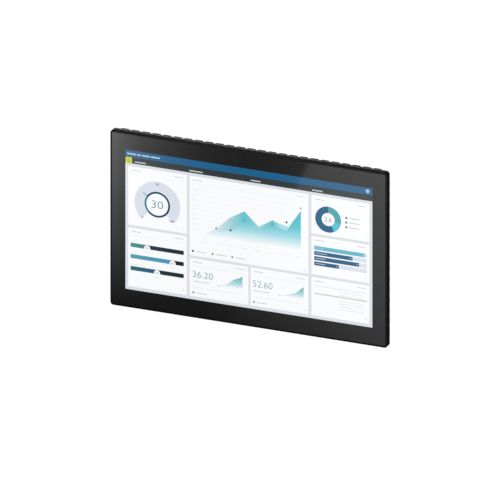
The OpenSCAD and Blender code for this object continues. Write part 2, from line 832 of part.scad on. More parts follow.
rj_cavity_w = 11.8;
rj_cavity_h = 8;
module ethernet_ports() {
    mid = board_d + rj_h / 2;
    color("#b4b8bb") for (x = ethernet_x) difference() {
        block(x, port_z, rj_w, rj_l, board_d, board_d + rj_h);
        block(x, port_z - 1, rj_cavity_w, 14, mid - rj_cavity_h / 2, mid + rj_cavity_h / 2);
        block(x, port_z - 1, 6, 11, mid + rj_cavity_h / 2 - eps, mid + rj_cavity_h / 2 + 1.6);
    }
}

module usb_ports() {
    mid = board_d + usb_h / 2;
    color("#aab0b4") for (x = usb_x) difference() {
        block(x, port_z, usb_w, usb_l, board_d, board_d + usb_h);
        difference() {
            block(x, port_z - 1, 12.5, 12.5, mid - 2.55, mid + 2.55);
            block(x, port_z - 0.4, 11, 12.5, mid - 0.2, mid + 1.7);
        }
    }
}

serial_l = 12;
shell_l = 5;
shell_t = 0.5;
insulator_l = 4.4;
contact_pitch = 2.77;
module serial_port() {
    mid = board_d + serial_h / 2;
    color("#9ea3a6") translate([serial_x, y_at(mid), port_z]) {
        translate([-serial_w / 2, -serial_h / 2, 0]) cube([serial_w, serial_h, serial_l]);
        difference() {
            translate([0, 0, -shell_l]) linear_extrude(shell_l + eps) shell_outline(0);
            translate([0, 0, -shell_l - over]) linear_extrude(shell_l + 0.6) shell_outline(-shell_t);
        }
        difference() {
            translate([0, 0, -insulator_l]) linear_extrude(insulator_l + eps) shell_outline(eps - shell_t);
            for (row = [0, 1], i = [0 : 4 - row])
                translate([(i - 2 + row / 2) * contact_pitch, 1.4 - 2.8 * row, -shell_l])
                    cylinder(r = 0.55, h = insulator_l);
        }
        for (s = [-1, 1]) translate([s * 12.5, 0, -4]) difference() {
            cylinder(r = 2.7, h = 4 + eps, $fn = 6);
            translate([0, 0, -over]) cylinder(r = 1.3, h = 4);
        }
    }
}

// D-shaped outline of the serial port's shell
shell_w = 16.6;
shell_h = 8.2;
shell_taper = 1.3;
module shell_outline(grow) {
    wide = shell_w / 2 + grow;
    narrow = wide - shell_taper;
    half = shell_h / 2 + grow;
    polygon([[-wide, half], [wide, half], [narrow, -half], [-narrow, -half]]);
}

module card_slots() {
    color("#a4a8ab") difference() {
        block(card_x, port_z, slot_w, slot_l, board_d, board_d + slot_h);
        for (d = card_levels)
            block(card_x, port_z - 1, card_w + 2 * card_fit, slot_l, d - card_fit, d + card_t + card_fit);
    }
}

module memory_card(d) {
    cut = 4;
    translate([card_x, y_at(d), port_z - card_proud]) rotate([-90, 0, 0]) mirror([0, 1, 0])
        linear_extrude(card_t) difference() {
            translate([-card_w / 2, 0]) square([card_w, card_l]);
            translate([card_w / 2, card_l]) rotate(45) square(cut * sqrt(2), center = true);
        }
}

module data_card() {
    color("#1d4e89") memory_card(card_levels[1]);
}

module system_card() {
    color("#26282b") memory_card(card_levels[0]);
}

// --- earth connection, mount and cable entry ---
earth_r = 2.5;
earth_sink = 1.8;                   // the stud's foot in the bay's floor
module earth_stud() {
    color("#c2a25a") translate([earth_x, 0, earth_z]) {
        bar(earth_r, bay_floor_d - earth_sink, bay_floor_d + 14);
        bar(earth_r + 2, bay_floor_d, bay_floor_d + 1.2);
    }
}

module earth_nut() {
    color("#c9ccce") translate([earth_x, 0, earth_z]) difference() {
        translate([0, y_at(bay_floor_d + 5.2), 0]) rotate([90, 0, 0]) cylinder(r = 4.6, h = 4, $fn = 6);
        bar(earth_r + 0.05, bay_floor_d, bay_floor_d + 6);
    }
}

insert_r = 3;
insert_l = 10;
module at_inserts() {
    for (sx = [-1, 1], sz = [-1, 1]) translate([sx * bolt_pitch / 2, 0, sz * bolt_pitch / 2]) children();
}

module mount_inserts() {
    color("#c9a04a") at_inserts() difference() {
        bar(insert_r, pad_d - insert_l, pad_d);
        bar(bolt_d / 2, pad_d - insert_l - 1, pad_d + 1);
    }
}

// children at each grommet and plate screw, with +Z down from the bay's bottom wall
module at_grommets() {
    for (i = [0 : entry_count - 1])
        translate([(i - (entry_count - 1) / 2) * entry_pitch, y_at(entry_d), bay_bottom])
            mirror([0, 0, 1]) children();
}

module at_plate_screws() {
    for (s = [-1, 1]) translate([s * (plate_w / 2 - plate_screw_in), y_at(entry_d), bay_bottom])
        mirror([0, 0, 1]) children();
}

grommet_end = bay_rim + plate_t;    // outer face of the plate
plate_thread_l = 6;
grommet_lip_t = 1.6;
module cable_plate() {
    color("#3a3c3f") difference() {
        translate([0, y_at(entry_d), bay_bottom - grommet_end]) linear_extrude(plate_t)
            rounded(plate_w, plate_h, 4);
        at_grommets() cylinder(r = grommet_r, h = grommet_end + 1);
        at_plate_screws() cylinder(r = plate_screw_r + 0.4, h = grommet_end + 1);
    }
}

module cable_grommets() {
    color("#151515") at_grommets() {
        cylinder(r = grommet_r, h = grommet_end + grommet_lip_t / 2);
        translate([0, 0, grommet_end]) cylinder(r = grommet_r + grommet_lip, h = grommet_lip_t);
        translate([0, 0, grommet_end + grommet_lip_t - eps])
            cylinder(r1 = grommet_r, r2 = grommet_r - grommet_lip, h = grommet_lip);
    }
}

module cable_plate_screws() {
    color("#8d9094") at_plate_screws() {
        translate([0, 0, bay_rim + 1 - plate_thread_l])
            cylinder(r = plate_screw_r - 0.1, h = plate_thread_l + plate_t);
        translate([0, 0, grommet_end]) cylinder(r = plate_head_r, h = head_h);
    }
}

// --- bay cover ---
module at_cover_screws() {
    for (sx = cover_screw_x, sz = [-1, 1])
        translate([sx * (bay_w / 2 - 2), 0, bay_z + sz * (bay_h / 2 + cover_screw_out)]) children();
}

seal_w = 2.4;                       // seal's outer edge beyond the clear opening
module cover_seal() {
    color("#101010") slab(bay_d + seal_gap, cover_d) difference() {
        bay_outline(seal_w);
        bay_outline(0.4);
    }
}

cover_ribs = 4;                     // ribs on each side of the cover's middle one
cover_rib_h = 1.4;
module bay_cover() {
    color("#2b2d30") difference() {
        union() {
            slab(cover_d, cover_face_d) bay_outline(bay_rim - cover_in);
            for (i = [-cover_ribs : cover_ribs]) slab(cover_face_d - eps, cover_face_d + cover_rib_h)
                translate([i * rib_pitch, bay_z]) rounded(rib_w - 3, bay_h - 10, 3);
        }
        at_cover_screws() bar(cover_screw_r + 0.3, cover_d - over, cover_face_d + over);
    }
}

module cover_screws() {
    color("#9a9da1") at_cover_screws()
        cap_screw(cover_screw_r, cover_face_d - bay_d + cover_screw_end, cover_face_d, cover_head_r, head_h);
}

cover_glass();
glass_tape();
front_frame();
frame_seal();
rear_housing();
housing_screws();
touch_sensor();
touch_cable();
touch_controller();
optical_bond();
lcd_cell();
lcd_bezel();
mid_frame();
diffuser_films();
light_guide();
led_bar();
backlight_tray();
lcd_brackets();
bracket_screws();
backlight_driver();
backlight_lead();
main_board();
board_parts();
board_screws();
processor();
thermal_pad();
display_cable();
backup_battery();
battery_holder();
power_socket();
ethernet_ports();
usb_ports();
serial_port();
card_slots();
data_card();
system_card();
earth_stud();
earth_nut();
mount_inserts();
bay_cover();
cover_screws();
cover_seal();
cable_plate();
cable_grommets();
cable_plate_screws();
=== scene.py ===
# %% [markdown]
# # A fully enclosed operator touch panel
# The panel is a flat glass-fronted screen in a bevelled aluminium frame, on a die-cast housing whose
# ribs carry the heat away. This lesson dresses its solid model: it keeps the solids whose shape is
# right, remakes those whose edges catch the light, and gives each one a finish. The screen faces -Y,
# +X is to its right and +Z is up.

# %% Load the solid model
import math

import bmesh
import bpy
from mathutils import Matrix, Vector


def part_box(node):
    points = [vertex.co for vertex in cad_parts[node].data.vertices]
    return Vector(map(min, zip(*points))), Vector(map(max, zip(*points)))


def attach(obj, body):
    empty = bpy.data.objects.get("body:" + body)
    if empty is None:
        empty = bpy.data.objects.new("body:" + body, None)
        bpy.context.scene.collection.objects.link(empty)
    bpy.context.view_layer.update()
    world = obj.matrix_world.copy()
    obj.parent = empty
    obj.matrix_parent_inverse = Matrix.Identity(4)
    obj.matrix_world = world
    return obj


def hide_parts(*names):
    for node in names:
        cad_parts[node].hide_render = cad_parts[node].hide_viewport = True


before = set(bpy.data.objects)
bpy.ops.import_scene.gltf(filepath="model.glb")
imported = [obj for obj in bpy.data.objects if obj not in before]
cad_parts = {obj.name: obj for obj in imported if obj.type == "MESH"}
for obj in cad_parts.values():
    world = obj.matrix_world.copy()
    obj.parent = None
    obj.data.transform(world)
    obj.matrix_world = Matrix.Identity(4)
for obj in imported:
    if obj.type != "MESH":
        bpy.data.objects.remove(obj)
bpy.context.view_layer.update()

MM = 0.001

# %% [markdown]
# ## Helpers for finishes
# Paint charts give colours as hex numbers in sRGB, but shaders mix light, so one function turns a
# hex colour into linear light. A second one adds any kind of node with its settings and its links,
# which keeps each finish below short enough to read in one look.

# %% Colour and node helpers
def linear(hex_colour, alpha=1.0):
    """An sRGB hex colour as linear light, which is what the shaders expect."""
    parts = [int(hex_colour[i : i + 2], 16) / 255 for i in (1, 3, 5)]
    light = [p / 12.92 if p <= 0.04045 else ((p + 0.055) / 1.055) ** 2.4 for p in parts]
    return (*light, alpha)


def fill(tree, node, inputs):
    """Gives a node's sockets plain values, or links where a value is another node or its output."""
    for socket, value in inputs.items():
        if isinstance(value, bpy.types.Node):
            value = next(output for output in value.outputs if output.enabled)
        if isinstance(value, bpy.types.NodeSocket):
            tree.links.new(value, node.inputs[socket])
        else:
            node.inputs[socket].default_value = value
    return node


def add(tree, kind, inputs=None, **settings):
    """Adds a node with its settings, and fills its sockets."""
    made = tree.nodes.new(kind)
    for name, value in settings.items():
        setattr(made, name, value)
    return fill(tree, made, inputs or {})


def set_stops(ramp, stops):
    """Gives a colour ramp its stops, each a place from 0 to 1 and a linear colour."""
    elements = ramp.color_ramp.elements
    while len(elements) < len(stops):
        elements.new(0.5)
    for element, (where, colour) in zip(elements, stops):
        element.position = where
        element.color = colour
    return ramp


# %% Finishes
def new_finish(name, **shader_inputs):
    """A material with a Principled shader; returns the material, its tree and the shader."""
    made = bpy.data.materials.new(name)
    made.use_nodes = True
    shader = made.node_tree.nodes["Principled BSDF"]
    fill(made.node_tree, shader, {socket.replace("_", " "): value for socket, value in shader_inputs.items()})
    return made, made.node_tree, shader


def grained(name, dark, pale, grain_mm, rough, bump_mm, blotch_mm=40.0, **shader_inputs):
    """A finish with two tones in soft blotches and a fine grain that breaks up its gloss. Its
    pattern lies on the piece's own coordinates, so it stays put when the piece moves."""
    made, tree, shader = new_finish(name, **shader_inputs)
    place = add(tree, "ShaderNodeTexCoord").outputs["Object"]
    grain = add(tree, "ShaderNodeTexNoise", {"Vector": place, "Scale": 1 / (grain_mm * MM)})
    blotch = add(tree, "ShaderNodeTexNoise", {"Vector": place, "Scale": 1 / (blotch_mm * MM), "Detail": 3.0})
    tone = add(tree, "ShaderNodeMix", {"Factor": blotch, "A": linear(dark), "B": linear(pale)},
               data_type="RGBA")
    gloss = add(tree, "ShaderNodeMapRange", {"Value": grain, "To Min": rough[0], "To Max": rough[1]})
    bump = add(tree, "ShaderNodeBump", {"Height": grain, "Distance": bump_mm * MM, "Strength": 0.6})
    fill(tree, shader, {"Base Color": tone, "Roughness": gloss, "Normal": bump})
    return made


# %% [markdown]
# ## The outer finishes
# The housing and the bay cover are die-cast aluminium with a fine-textured powder coat: thousands of
# tiny bumps about half a millimetre apart scatter the light, so the graphite colour looks dry and
# soft. The front frame is milled, blasted and anodised black, and its bevel has a faint satin gleam.
# Its sides and back get a duller near-black, which is painted shade for the dark line at the joint.
# The grain of blasting, rolling and plating is too fine to show, so it is drawn about half a millimetre
# to a millimetre wide, and very shallow.

# %% Coatings, rubber and metals
# dry and soft, with hardly a highlight
powder_coat = grained("powder_coated_die_casting", "#29292a", "#373738", 0.8, (0.7, 0.88), 0.4,
                      Specular_IOR_Level=0.1)
# deep black with a faint satin gleam
anodised = grained("satin_black_anodised_aluminium", "#171718", "#1c1c1d", 0.5, (0.3, 0.42), 0.01)
# painted shade: black anodised made nearly as dark as a shadow from every side, for the frame's sides and the
# joint's step
joint_shade_black = grained("black_anodised_painted_joint_shade", "#090a0a", "#0d0e0f", 0.5, (0.75, 0.88), 0.02,
                  Specular_IOR_Level=0.06)
# dull black
rubber = grained("moulded_seal_rubber", "#0b0b0b", "#121212", 1.5, (0.7, 0.85), 0.02)
# cool grey with soft reflections
zinc_steel = grained("zinc_plated_steel", "#8c8f93", "#a4a7ab", 0.8, (0.28, 0.42), 0.01, Metallic=1.0)
# the brightest of the metals
nickel = grained("nickel_plated_sheet", "#a9acae", "#bdc0c2", 1.2, (0.2, 0.32), 0.008, Metallic=1.0)
# warm yellow, with the soft gleam of a turned surface
brass = grained("turned_brass", "#b08d43", "#c9a65a", 0.7, (0.25, 0.38), 0.01, Metallic=1.0)
# deep yellow and smooth, where a spring has to touch
gold = grained("gold_plated_contact", "#c79a3c", "#dbb254", 1.0, (0.18, 0.28), 0.004, Metallic=1.0)

# %% [markdown]
# ## Plastics, boards and films
# These are inside the housing or in its connection bay. Moulded plastics have a fine spark-eroded
# grain, the boards' green lacquer is smooth and slightly blotched over its copper, and films gleam.

# %% Plastics and boards
# a gloss that is broken by what lies under the lacquer
solder_mask = grained("green_solder_mask", "#0f3d26", "#1c5f3b", 3.0, (0.3, 0.45), 0.05, 6.0)
# nearly black and dull
black_epoxy = grained("moulded_chip_epoxy", "#1b1b1c", "#29292b", 0.6, (0.5, 0.65), 0.02)
# plain moulded plastics, with a mild sheen
white_nylon = grained("white_moulded_nylon", "#d9d9d4", "#e8e8e4", 2.0, (0.45, 0.55), 0.02)
green_nylon = grained("green_terminal_nylon", "#1f7a3c", "#2c9550", 1.5, (0.38, 0.5), 0.02)
blue_shell = grained("blue_card_plastic", "#173f70", "#214f86", 1.0, (0.35, 0.45), 0.02)
dark_shell = grained("dark_card_plastic", "#202226", "#2a2c31", 1.0, (0.4, 0.5), 0.02)
# smooth films, cables and pads
clear_acrylic = grained("frosted_light_guide_acrylic", "#cfdcde", "#e3ecee", 2.0, (0.25, 0.35), 0.01)
amber_film = grained("amber_flex_film", "#8f5f1c", "#b57f2e", 2.0, (0.2, 0.3), 0.01)
grey_film = grained("grey_flat_cable", "#a8a498", "#c2beb2", 2.5, (0.4, 0.5), 0.02)
soft_gel = grained("soft_silicone_pad", "#71889a", "#8fa6b7", 2.0, (0.55, 0.7), 0.02)
# the glass of the display, which mirrors sharply, and the drawn bar behind it
dark_glass = grained("display_cell_glass", "#10151a", "#182028", 8.0, (0.05, 0.09), 0.001)
bare_aluminium = grained("extruded_aluminium_bar", "#9c9fa1", "#b4b7b9", 0.8, (0.3, 0.42), 0.01, Metallic=1.0)

# %% Finishes of the solids
CAD_FINISHES = {
    powder_coat: ["rear_housing", "bay_cover", "cable_plate"],
    anodised: ["front_frame"],
    rubber: ["frame_seal", "glass_tape", "cover_seal", "cable_grommets"],
    zinc_steel: ["housing_screws", "cover_screws", "cable_plate_screws", "board_screws", "bracket_screws",
                 "earth_nut", "lcd_brackets"],
    nickel: ["ethernet_ports", "usb_ports", "serial_port", "card_slots", "lcd_bezel", "backlight_tray",
             "backup_battery"],
    brass: ["mount_inserts", "earth_stud"],
    solder_mask: ["main_board", "touch_controller", "backlight_driver"],
    black_epoxy: ["board_parts", "processor"],
    white_nylon: ["mid_frame", "battery_holder", "diffuser_films", "backlight_lead"],
    clear_acrylic: ["light_guide"],
    green_nylon: ["power_socket"],
    blue_shell: ["data_card"],
    dark_shell: ["system_card"],
    amber_film: ["touch_cable"],
    grey_film: ["display_cable"],
    soft_gel: ["thermal_pad", "optical_bond"],
    dark_glass: ["lcd_cell", "touch_sensor", "cover_glass"],
    bare_aluminium: ["led_bar"],
}
for finish, nodes in CAD_FINISHES.items():
    for name in nodes:
        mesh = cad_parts[name].data
        mesh.materials.clear()
        mesh.materials.append(finish)
print("finished solids:", sum(len(nodes) for nodes in CAD_FINISHES.values()))

# %% [markdown]
# ## Making a new piece
# A new piece is drawn in millimetres, with the depth behind the front of the panel as its second
# coordinate, and is turned into metres when it is finished. Its edges are smooth where faces meet
# gently and crisp where they meet at more than 35 degrees. Large faces keep their flat shading,
# because the shading of each corner is weighted by the size of the faces round it.

# %% From bmesh to a finished piece
PAD_D = 56.0  # the mount's face, where Y is 0, lies this far behind the front of the panel
WELD = 0.0005  # points closer than this, in millimetres, become one


def at(x, depth, z):
    """A point in millimetres: across, behind the front of the panel, and up."""
    return Vector((x, depth - PAD_D, z))


def placed(name, data):
    """A new object in the scene."""
    made = bpy.data.objects.new(name, data)
    bpy.context.scene.collection.objects.link(made)
    return made


def blank(bm, name="blank"):
    """Turns a bmesh into an object in the scene, still in millimetres."""
    bmesh.ops.remove_doubles(bm, verts=bm.verts, dist=WELD)
    bmesh.ops.recalc_face_normals(bm, faces=bm.faces)
    mesh = bpy.data.meshes.new(name)
    bm.to_mesh(mesh)
    bm.free()
    return placed(name, mesh)


def as_blank(source, name="blank"):
    """A bmesh turned into a blank, or a blank as it is."""
    return blank(source, name) if isinstance(source, bmesh.types.BMesh) else source


def baked(made):
    """The object's mesh with its modifiers worked out; the object itself is removed."""
    bpy.context.view_layer.update()
    result = bpy.data.meshes.new_from_object(made.evaluated_get(bpy.context.evaluated_depsgraph_get()))
    source = made.data
    bpy.data.objects.remove(made)
    if isinstance(source, bpy.types.Mesh):
        bpy.data.meshes.remove(source)
    else:
        bpy.data.curves.remove(source)
    return result


def finished(name, source, finishes, body="panel", slot="housing", stands_for=(), crisp=35, second=None):
    """Turns a bmesh, or a blank, in millimetres into a piece that rides on a body. The faces for
    which second(middle, direction) is true get the second finish."""
    made = as_blank(source, name)
    made.data.materials.clear()
    for finish in finishes:
        made.data.materials.append(finish)
    if second:
        for face in made.data.polygons:
            face.material_index = int(second(face.center, face.normal))
    made.data.transform(Matrix.Diagonal((MM, MM, MM, 1)))
    made.data.shade_smooth()
    made.data.set_sharp_from_angle(angle=math.radians(crisp))
    weighted = made.modifiers.new("weighted", "WEIGHTED_NORMAL")
    weighted.keep_sharp = True
    mesh = baked(made)
    mesh.name = name
    made = placed(name, mesh)
    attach(made, body)
    if stands_for:
        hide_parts(*stands_for)
    print(f"{name}: {len(mesh.polygons)} faces, rides on {body}")
    return made


# %% [markdown]
# ## Three ways to draw a solid
# Nearly every piece here is one of three things. A loft joins rounded rectangles at different depths.
# A turned part is a stack of rings round an axis. And a carved part starts from those two and is
# joined, cut or trimmed by others, which is how a casting gets its pockets and holes.

# %% Lofts with rounded corners
def rounded_path(points, reaches, steps=4):
    """A bent line whose inner corners are replaced by curves that start a given reach before them."""
    points = [Vector(p) for p in points]
    shares = [i / steps for i in range(steps + 1)]
    path = [points[0]]
    for before, corner, after, reach in zip(points, points[1:], points[2:], reaches):
        if reach:
            start = corner.lerp(before, reach / (before - corner).length)
            end = corner.lerp(after, reach / (after - corner).length)
            path += [start.lerp(corner, t).lerp(corner.lerp(end, t), t) for t in shares]
        else:
            path.append(corner)
    return path + [points[-1]]


def skin(bm, rings, closed=False):
    """Faces between rings of points, with a cap on the first and the last unless the stack is closed."""
    pairs = list(zip(rings, rings[1:])) + ([(rings[-1], rings[0])] if closed else [])
    for low, high in pairs:
        for i in range(len(low)):
            j = (i + 1) % len(low)
            bm.faces.new((low[i], low[j], high[j], high[i]))
    if not closed:
        bm.faces.new(rings[0])
        bm.faces.new(rings[-1])


def loft(bm, levels, centre=(0.0, 0.0), closed=False, steps=8):
    """Joins rounded rectangles into one skin. A level gives half the width, half the height, the
    corner radius, the depth of its sides, and the depth of its top and bottom if that differs."""
    rings = []
    for half_width, half_height, radius, side_d, *top_d in levels:
        ring = []
        for quarter, (sx, sz) in enumerate(((1, 1), (-1, 1), (-1, -1), (1, -1))):
            for step in range(steps + 1):
                turn = math.pi / 2 * (quarter + step / steps)
                x = centre[0] + sx * (half_width - radius) + radius * math.cos(turn)
                z = centre[1] + sz * (half_height - radius) + radius * math.sin(turn)
                depth = side_d + ((top_d[0] if top_d else side_d) - side_d) * math.sin(turn) ** 2
                ring.append(bm.verts.new(at(x, depth, z)))
        rings.append(ring)
    skin(bm, rings, closed)


# %% Turned parts and plain blocks
def turned(bm, place, levels, axis="depth", steps=48, closed=False):
    """A stack of rings round an axis through place. A level gives the ring's radius and its distance
    along the axis, and may add lobes, a share by which the radius swings six times a turn."""
    rings = []
    for radius, along, *lobes in levels:
        ring = []
        for step in range(steps):
            turn = 2 * math.pi * step / steps
            r = radius * (1 + (lobes[0] if lobes else 0) * math.cos(6 * turn))
            across, other = r * math.cos(turn), r * math.sin(turn)
            offset = Vector((across, along, other)) if axis == "depth" else Vector((across, other, along))
            ring.append(bm.verts.new(Vector(place) + offset))
        rings.append(ring)
    skin(bm, rings, closed)


def bar(bm, place, radius, start, end, axis="depth", steps=48):
    """A plain cylinder between two distances along its axis."""
    turned(bm, place, [(radius, start), (radius, end)], axis, steps)


def rectangle(left, right, low, high):
    """The four corners of a flat rectangle, one after the other."""
    return [(left, low), (right, low), (right, high), (left, high)]


def box(bm, x0, x1, d0, d1, z0, z1):
    """A plain block between two corners."""
    skin(bm, [[bm.verts.new(at(x, d, z)) for x, z in rectangle(x0, x1, z0, z1)] for d in (d0, d1)])


def shapes(*parts):
    """A bmesh with one or more shapes. Each part is one of the helpers above, then its values."""
    bm = bmesh.new()
    for helper, *values in parts:
        helper(bm, *values)
    return bm


# %% Carved parts
def carved(base, operation, tool):
    """The base joined with a tool (UNION), cut by it (DIFFERENCE) or trimmed to it (INTERSECT).
    Either may be a bmesh or a blank."""
    base, tool = as_blank(base), as_blank(tool)
    change = base.modifiers.new(operation, "BOOLEAN")
    change.operation = operation
    change.solver = "MANIFOLD"
    change.object = tool
    mesh = baked(base)
    tool_mesh = tool.data
    bpy.data.objects.remove(tool)
    bpy.data.meshes.remove(tool_mesh)
    return placed(operation, mesh)


def island_centres(node):
    """The middle of each separate solid of a CAD node, in millimetres."""
    bm = bmesh.new()
    bm.from_mesh(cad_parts[node].data)
    bmesh.ops.remove_doubles(bm, verts=bm.verts, dist=0.001 * MM)
    left, centres = set(bm.verts), []
    while left:
        island, edge_of_search = set(), [left.pop()]
        while edge_of_search:
            vert = edge_of_search.pop()
            island.add(vert)
            near = {edge.other_vert(vert) for edge in vert.link_edges} & left
            left -= near
            edge_of_search += near
        low = [min(v.co[k] for v in island) for k in range(3)]
        high = [max(v.co[k] for v in island) for k in range(3)]
        centres.append((Vector(low) + Vector(high)) / 2 / MM)
    bm.free()
    return centres


# %% [markdown]
# ## The cover glass
# One sheet of toughened glass closes the whole front. Black ceramic ink is fired on its back as a
# border, so the border looks like deep black glass and not like paint. Its edge is ground to a small
# polished chamfer. The sheet is a loft of three outlines, and its front lies a hair behind the
# frame's lip, where the lit picture fills the difference.

# %% Cover glass
glass_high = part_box("cover_glass")[1] / MM  # its upper right corner at the back
PICTURE_STEP = 0.02  # thickness of one layer of the lit picture
GLASS_FRONT_D = 8 * PICTURE_STEP
GLASS_BACK_D = glass_high.y + PAD_D
GLASS_CORNER = 2.0
GROUND_EDGE = 0.3
WIPE_MM = 110  # width of the faint traces that a wiping cloth leaves

ink_glass, tree, shader = new_finish("toughened_glass_over_black_ink", IOR=1.5, Specular_IOR_Level=0.5)
place = add(tree, "ShaderNodeTexCoord").outputs["Object"]
wipe = add(tree, "ShaderNodeTexNoise", {"Vector": place, "Scale": 1 / (WIPE_MM * MM), "Detail": 4.0,
                                        "Roughness": 0.6})
haze = add(tree, "ShaderNodeMapRange", {"Value": wipe, "To Min": 0.03, "To Max": 0.07})
ink = add(tree, "ShaderNodeMix", {"Factor": wipe, "A": linear("#0a0b0c"), "B": linear("#0f1011")},
          data_type="RGBA")
fill(tree, shader, {"Base Color": ink, "Roughness": haze})

outlines = [
    (glass_high.x, glass_high.z, GLASS_CORNER, GLASS_BACK_D),
    (glass_high.x, glass_high.z, GLASS_CORNER, GLASS_FRONT_D + GROUND_EDGE),
    (glass_high.x - GROUND_EDGE, glass_high.z - GROUND_EDGE, GLASS_CORNER - GROUND_EDGE, GLASS_FRONT_D),
]
finished("glass_sheet", shapes((loft, outlines)), [ink_glass], slot="cover_glass", stands_for=["cover_glass"])
print("glass:", round(2 * glass_high.x, 1), "x", round(2 * glass_high.z, 1), "mm")

# %% [markdown]
# ## The front frame
# The frame is milled from aluminium: a bevel runs round the front, a narrow flat lip meets the glass,
# and behind it a ledge carries the tape, and a spigot reaches into the housing. The whole section is
# one closed outline that is lofted round the panel. Each outer edge is broken by a tenth or two of
# a millimetre, because a real cutter and the coating leave no razor edge, and that is what shines.

# %% Front frame
GLASS_IN = 3.5  # the glass lies this far inside the frame's edge
half_w = glass_high.x + GLASS_IN
half_h = glass_high.z + GLASS_IN
CORNER = 6.0
FRAME_D = 2.8  # the frame's outer edge ends here
BEVEL_IN, BEVEL_D = 2.7, 1.2  # the bevel starts this far inside the edge, and ends this deep on it
LEDGE_D = 2.4  # the ledge that carries the glass's tape
SPIGOT_OUT, SPIGOT_IN, SPIGOT_D = 2.6, 11, 10.7  # the part that reaches into the housing
PLATE_D = 8.0  # the back of the plate that holds the display
OPENING = (249.5, 147.85, 0.8)  # half the width, half the height and the corner of the display's hole

# the section as inset from the outer edge, depth, and how far its corner is rounded
REAR_SECTION = [(0, BEVEL_D, 0.25), (0, FRAME_D, 0.15), (SPIGOT_OUT, FRAME_D, 0), (SPIGOT_OUT, SPIGOT_D, 0.3),
                (SPIGOT_IN, SPIGOT_D, 0.3), (SPIGOT_IN, PLATE_D, 0)]
FRONT_SECTION = [(3.2, LEDGE_D, 0), (3.2, 0, 0.15), (BEVEL_IN, 0, 0.15), (0.9, 0.8, 0)]


def frame_outlines(before, section, after):
    """The frame's outlines along a part of its section, whose ends bend towards before and after."""
    points = [before] + [corner[:2] for corner in section] + [after]
    path = rounded_path(points, [corner[2] for corner in section], 2)
    return [(half_w - inset, half_h - inset, max(CORNER - inset, 0.8), depth) for inset, depth in path[1:-1]]


outlines = frame_outlines((BEVEL_IN, 0), REAR_SECTION, (16, PLATE_D))
outlines += [(*OPENING, PLATE_D), (*OPENING, LEDGE_D)]
outlines += frame_outlines((16, LEDGE_D), FRONT_SECTION, (0, BEVEL_D))
housing_screw_places = island_centres("housing_screws")
holes = [(turned, (place.x, -PAD_D, place.z), [(1.3, 5.2), (1.3, 11.5)], "depth", 24)
         for place in housing_screw_places]
frame_body = carved(shapes((loft, outlines, (0.0, 0.0), True)), "DIFFERENCE", shapes(*holes))


def painted_shade_face(middle, direction):
    """Everything but the bevel and the lip, which face forwards near the front: the faces that get the
    near-black painted shade of the joint.
    """
    return middle.y > 0.82 - PAD_D or direction.y > -0.3


# the frame's sides and back get the near-black that paints the joint's shade
finished("front_frame_milled", frame_body, [anodised, joint_shade_black], slot="front_frame",
         stands_for=["front_frame"], second=painted_shade_face)
print("frame:", round(2 * half_w, 1), "x", round(2 * half_h, 1), "mm,", len(holes), "screw holes")

# %% [markdown]
# ## The cooling ribs
# The ribs are part of the casting. Each one runs from the rim over the slope to the flat back, and
# its section is a flat-topped wave, so that the mould lets go of it. A Geometry Nodes tree makes a
# whole row: it rounds the bends of a path, sweeps the section along it and repeats the result at a
# fixed pitch. The same tree makes long ribs, short ribs that dive into the casting, and rim stubs.

# %% Geometry Nodes tree for a row of ribs
RIB_PITCH = 20.2
RIB_W = 15.8
RIB_H = 3.4
RIB_ROUND = 5.0  # width of the round on a rib's edge
RIB_BEND = 6.0  # how far from a corner of its path a rib starts to bend


def tree_with_inputs(name, inputs, output):
    """A Geometry Nodes tree with named inputs and one output of geometry, and the inputs' sockets."""
    tree = bpy.data.node_groups.new(name, "GeometryNodeTree")
    for socket, kind in inputs:
        tree.interface.new_socket(socket, in_out="INPUT", socket_type="NodeSocket" + kind)
    tree.interface.new_socket(output, in_out="OUTPUT", socket_type="NodeSocketGeometry")
    return tree, add(tree, "NodeGroupInput").outputs


def end_with_copies(tree, output, points, instance, coat):
    """Sets a copy on each point, makes the copies real and gives them their finish."""
    copied = add(tree, "GeometryNodeInstanceOnPoints", {"Points": points, "Instance": instance})
    real = add(tree, "GeometryNodeRealizeInstances", {"Geometry": copied})
    coated = add(tree, "GeometryNodeSetMaterial", {"Geometry": real, "Material": coat})
    add(tree, "NodeGroupOutput", {output: coated})
    return tree


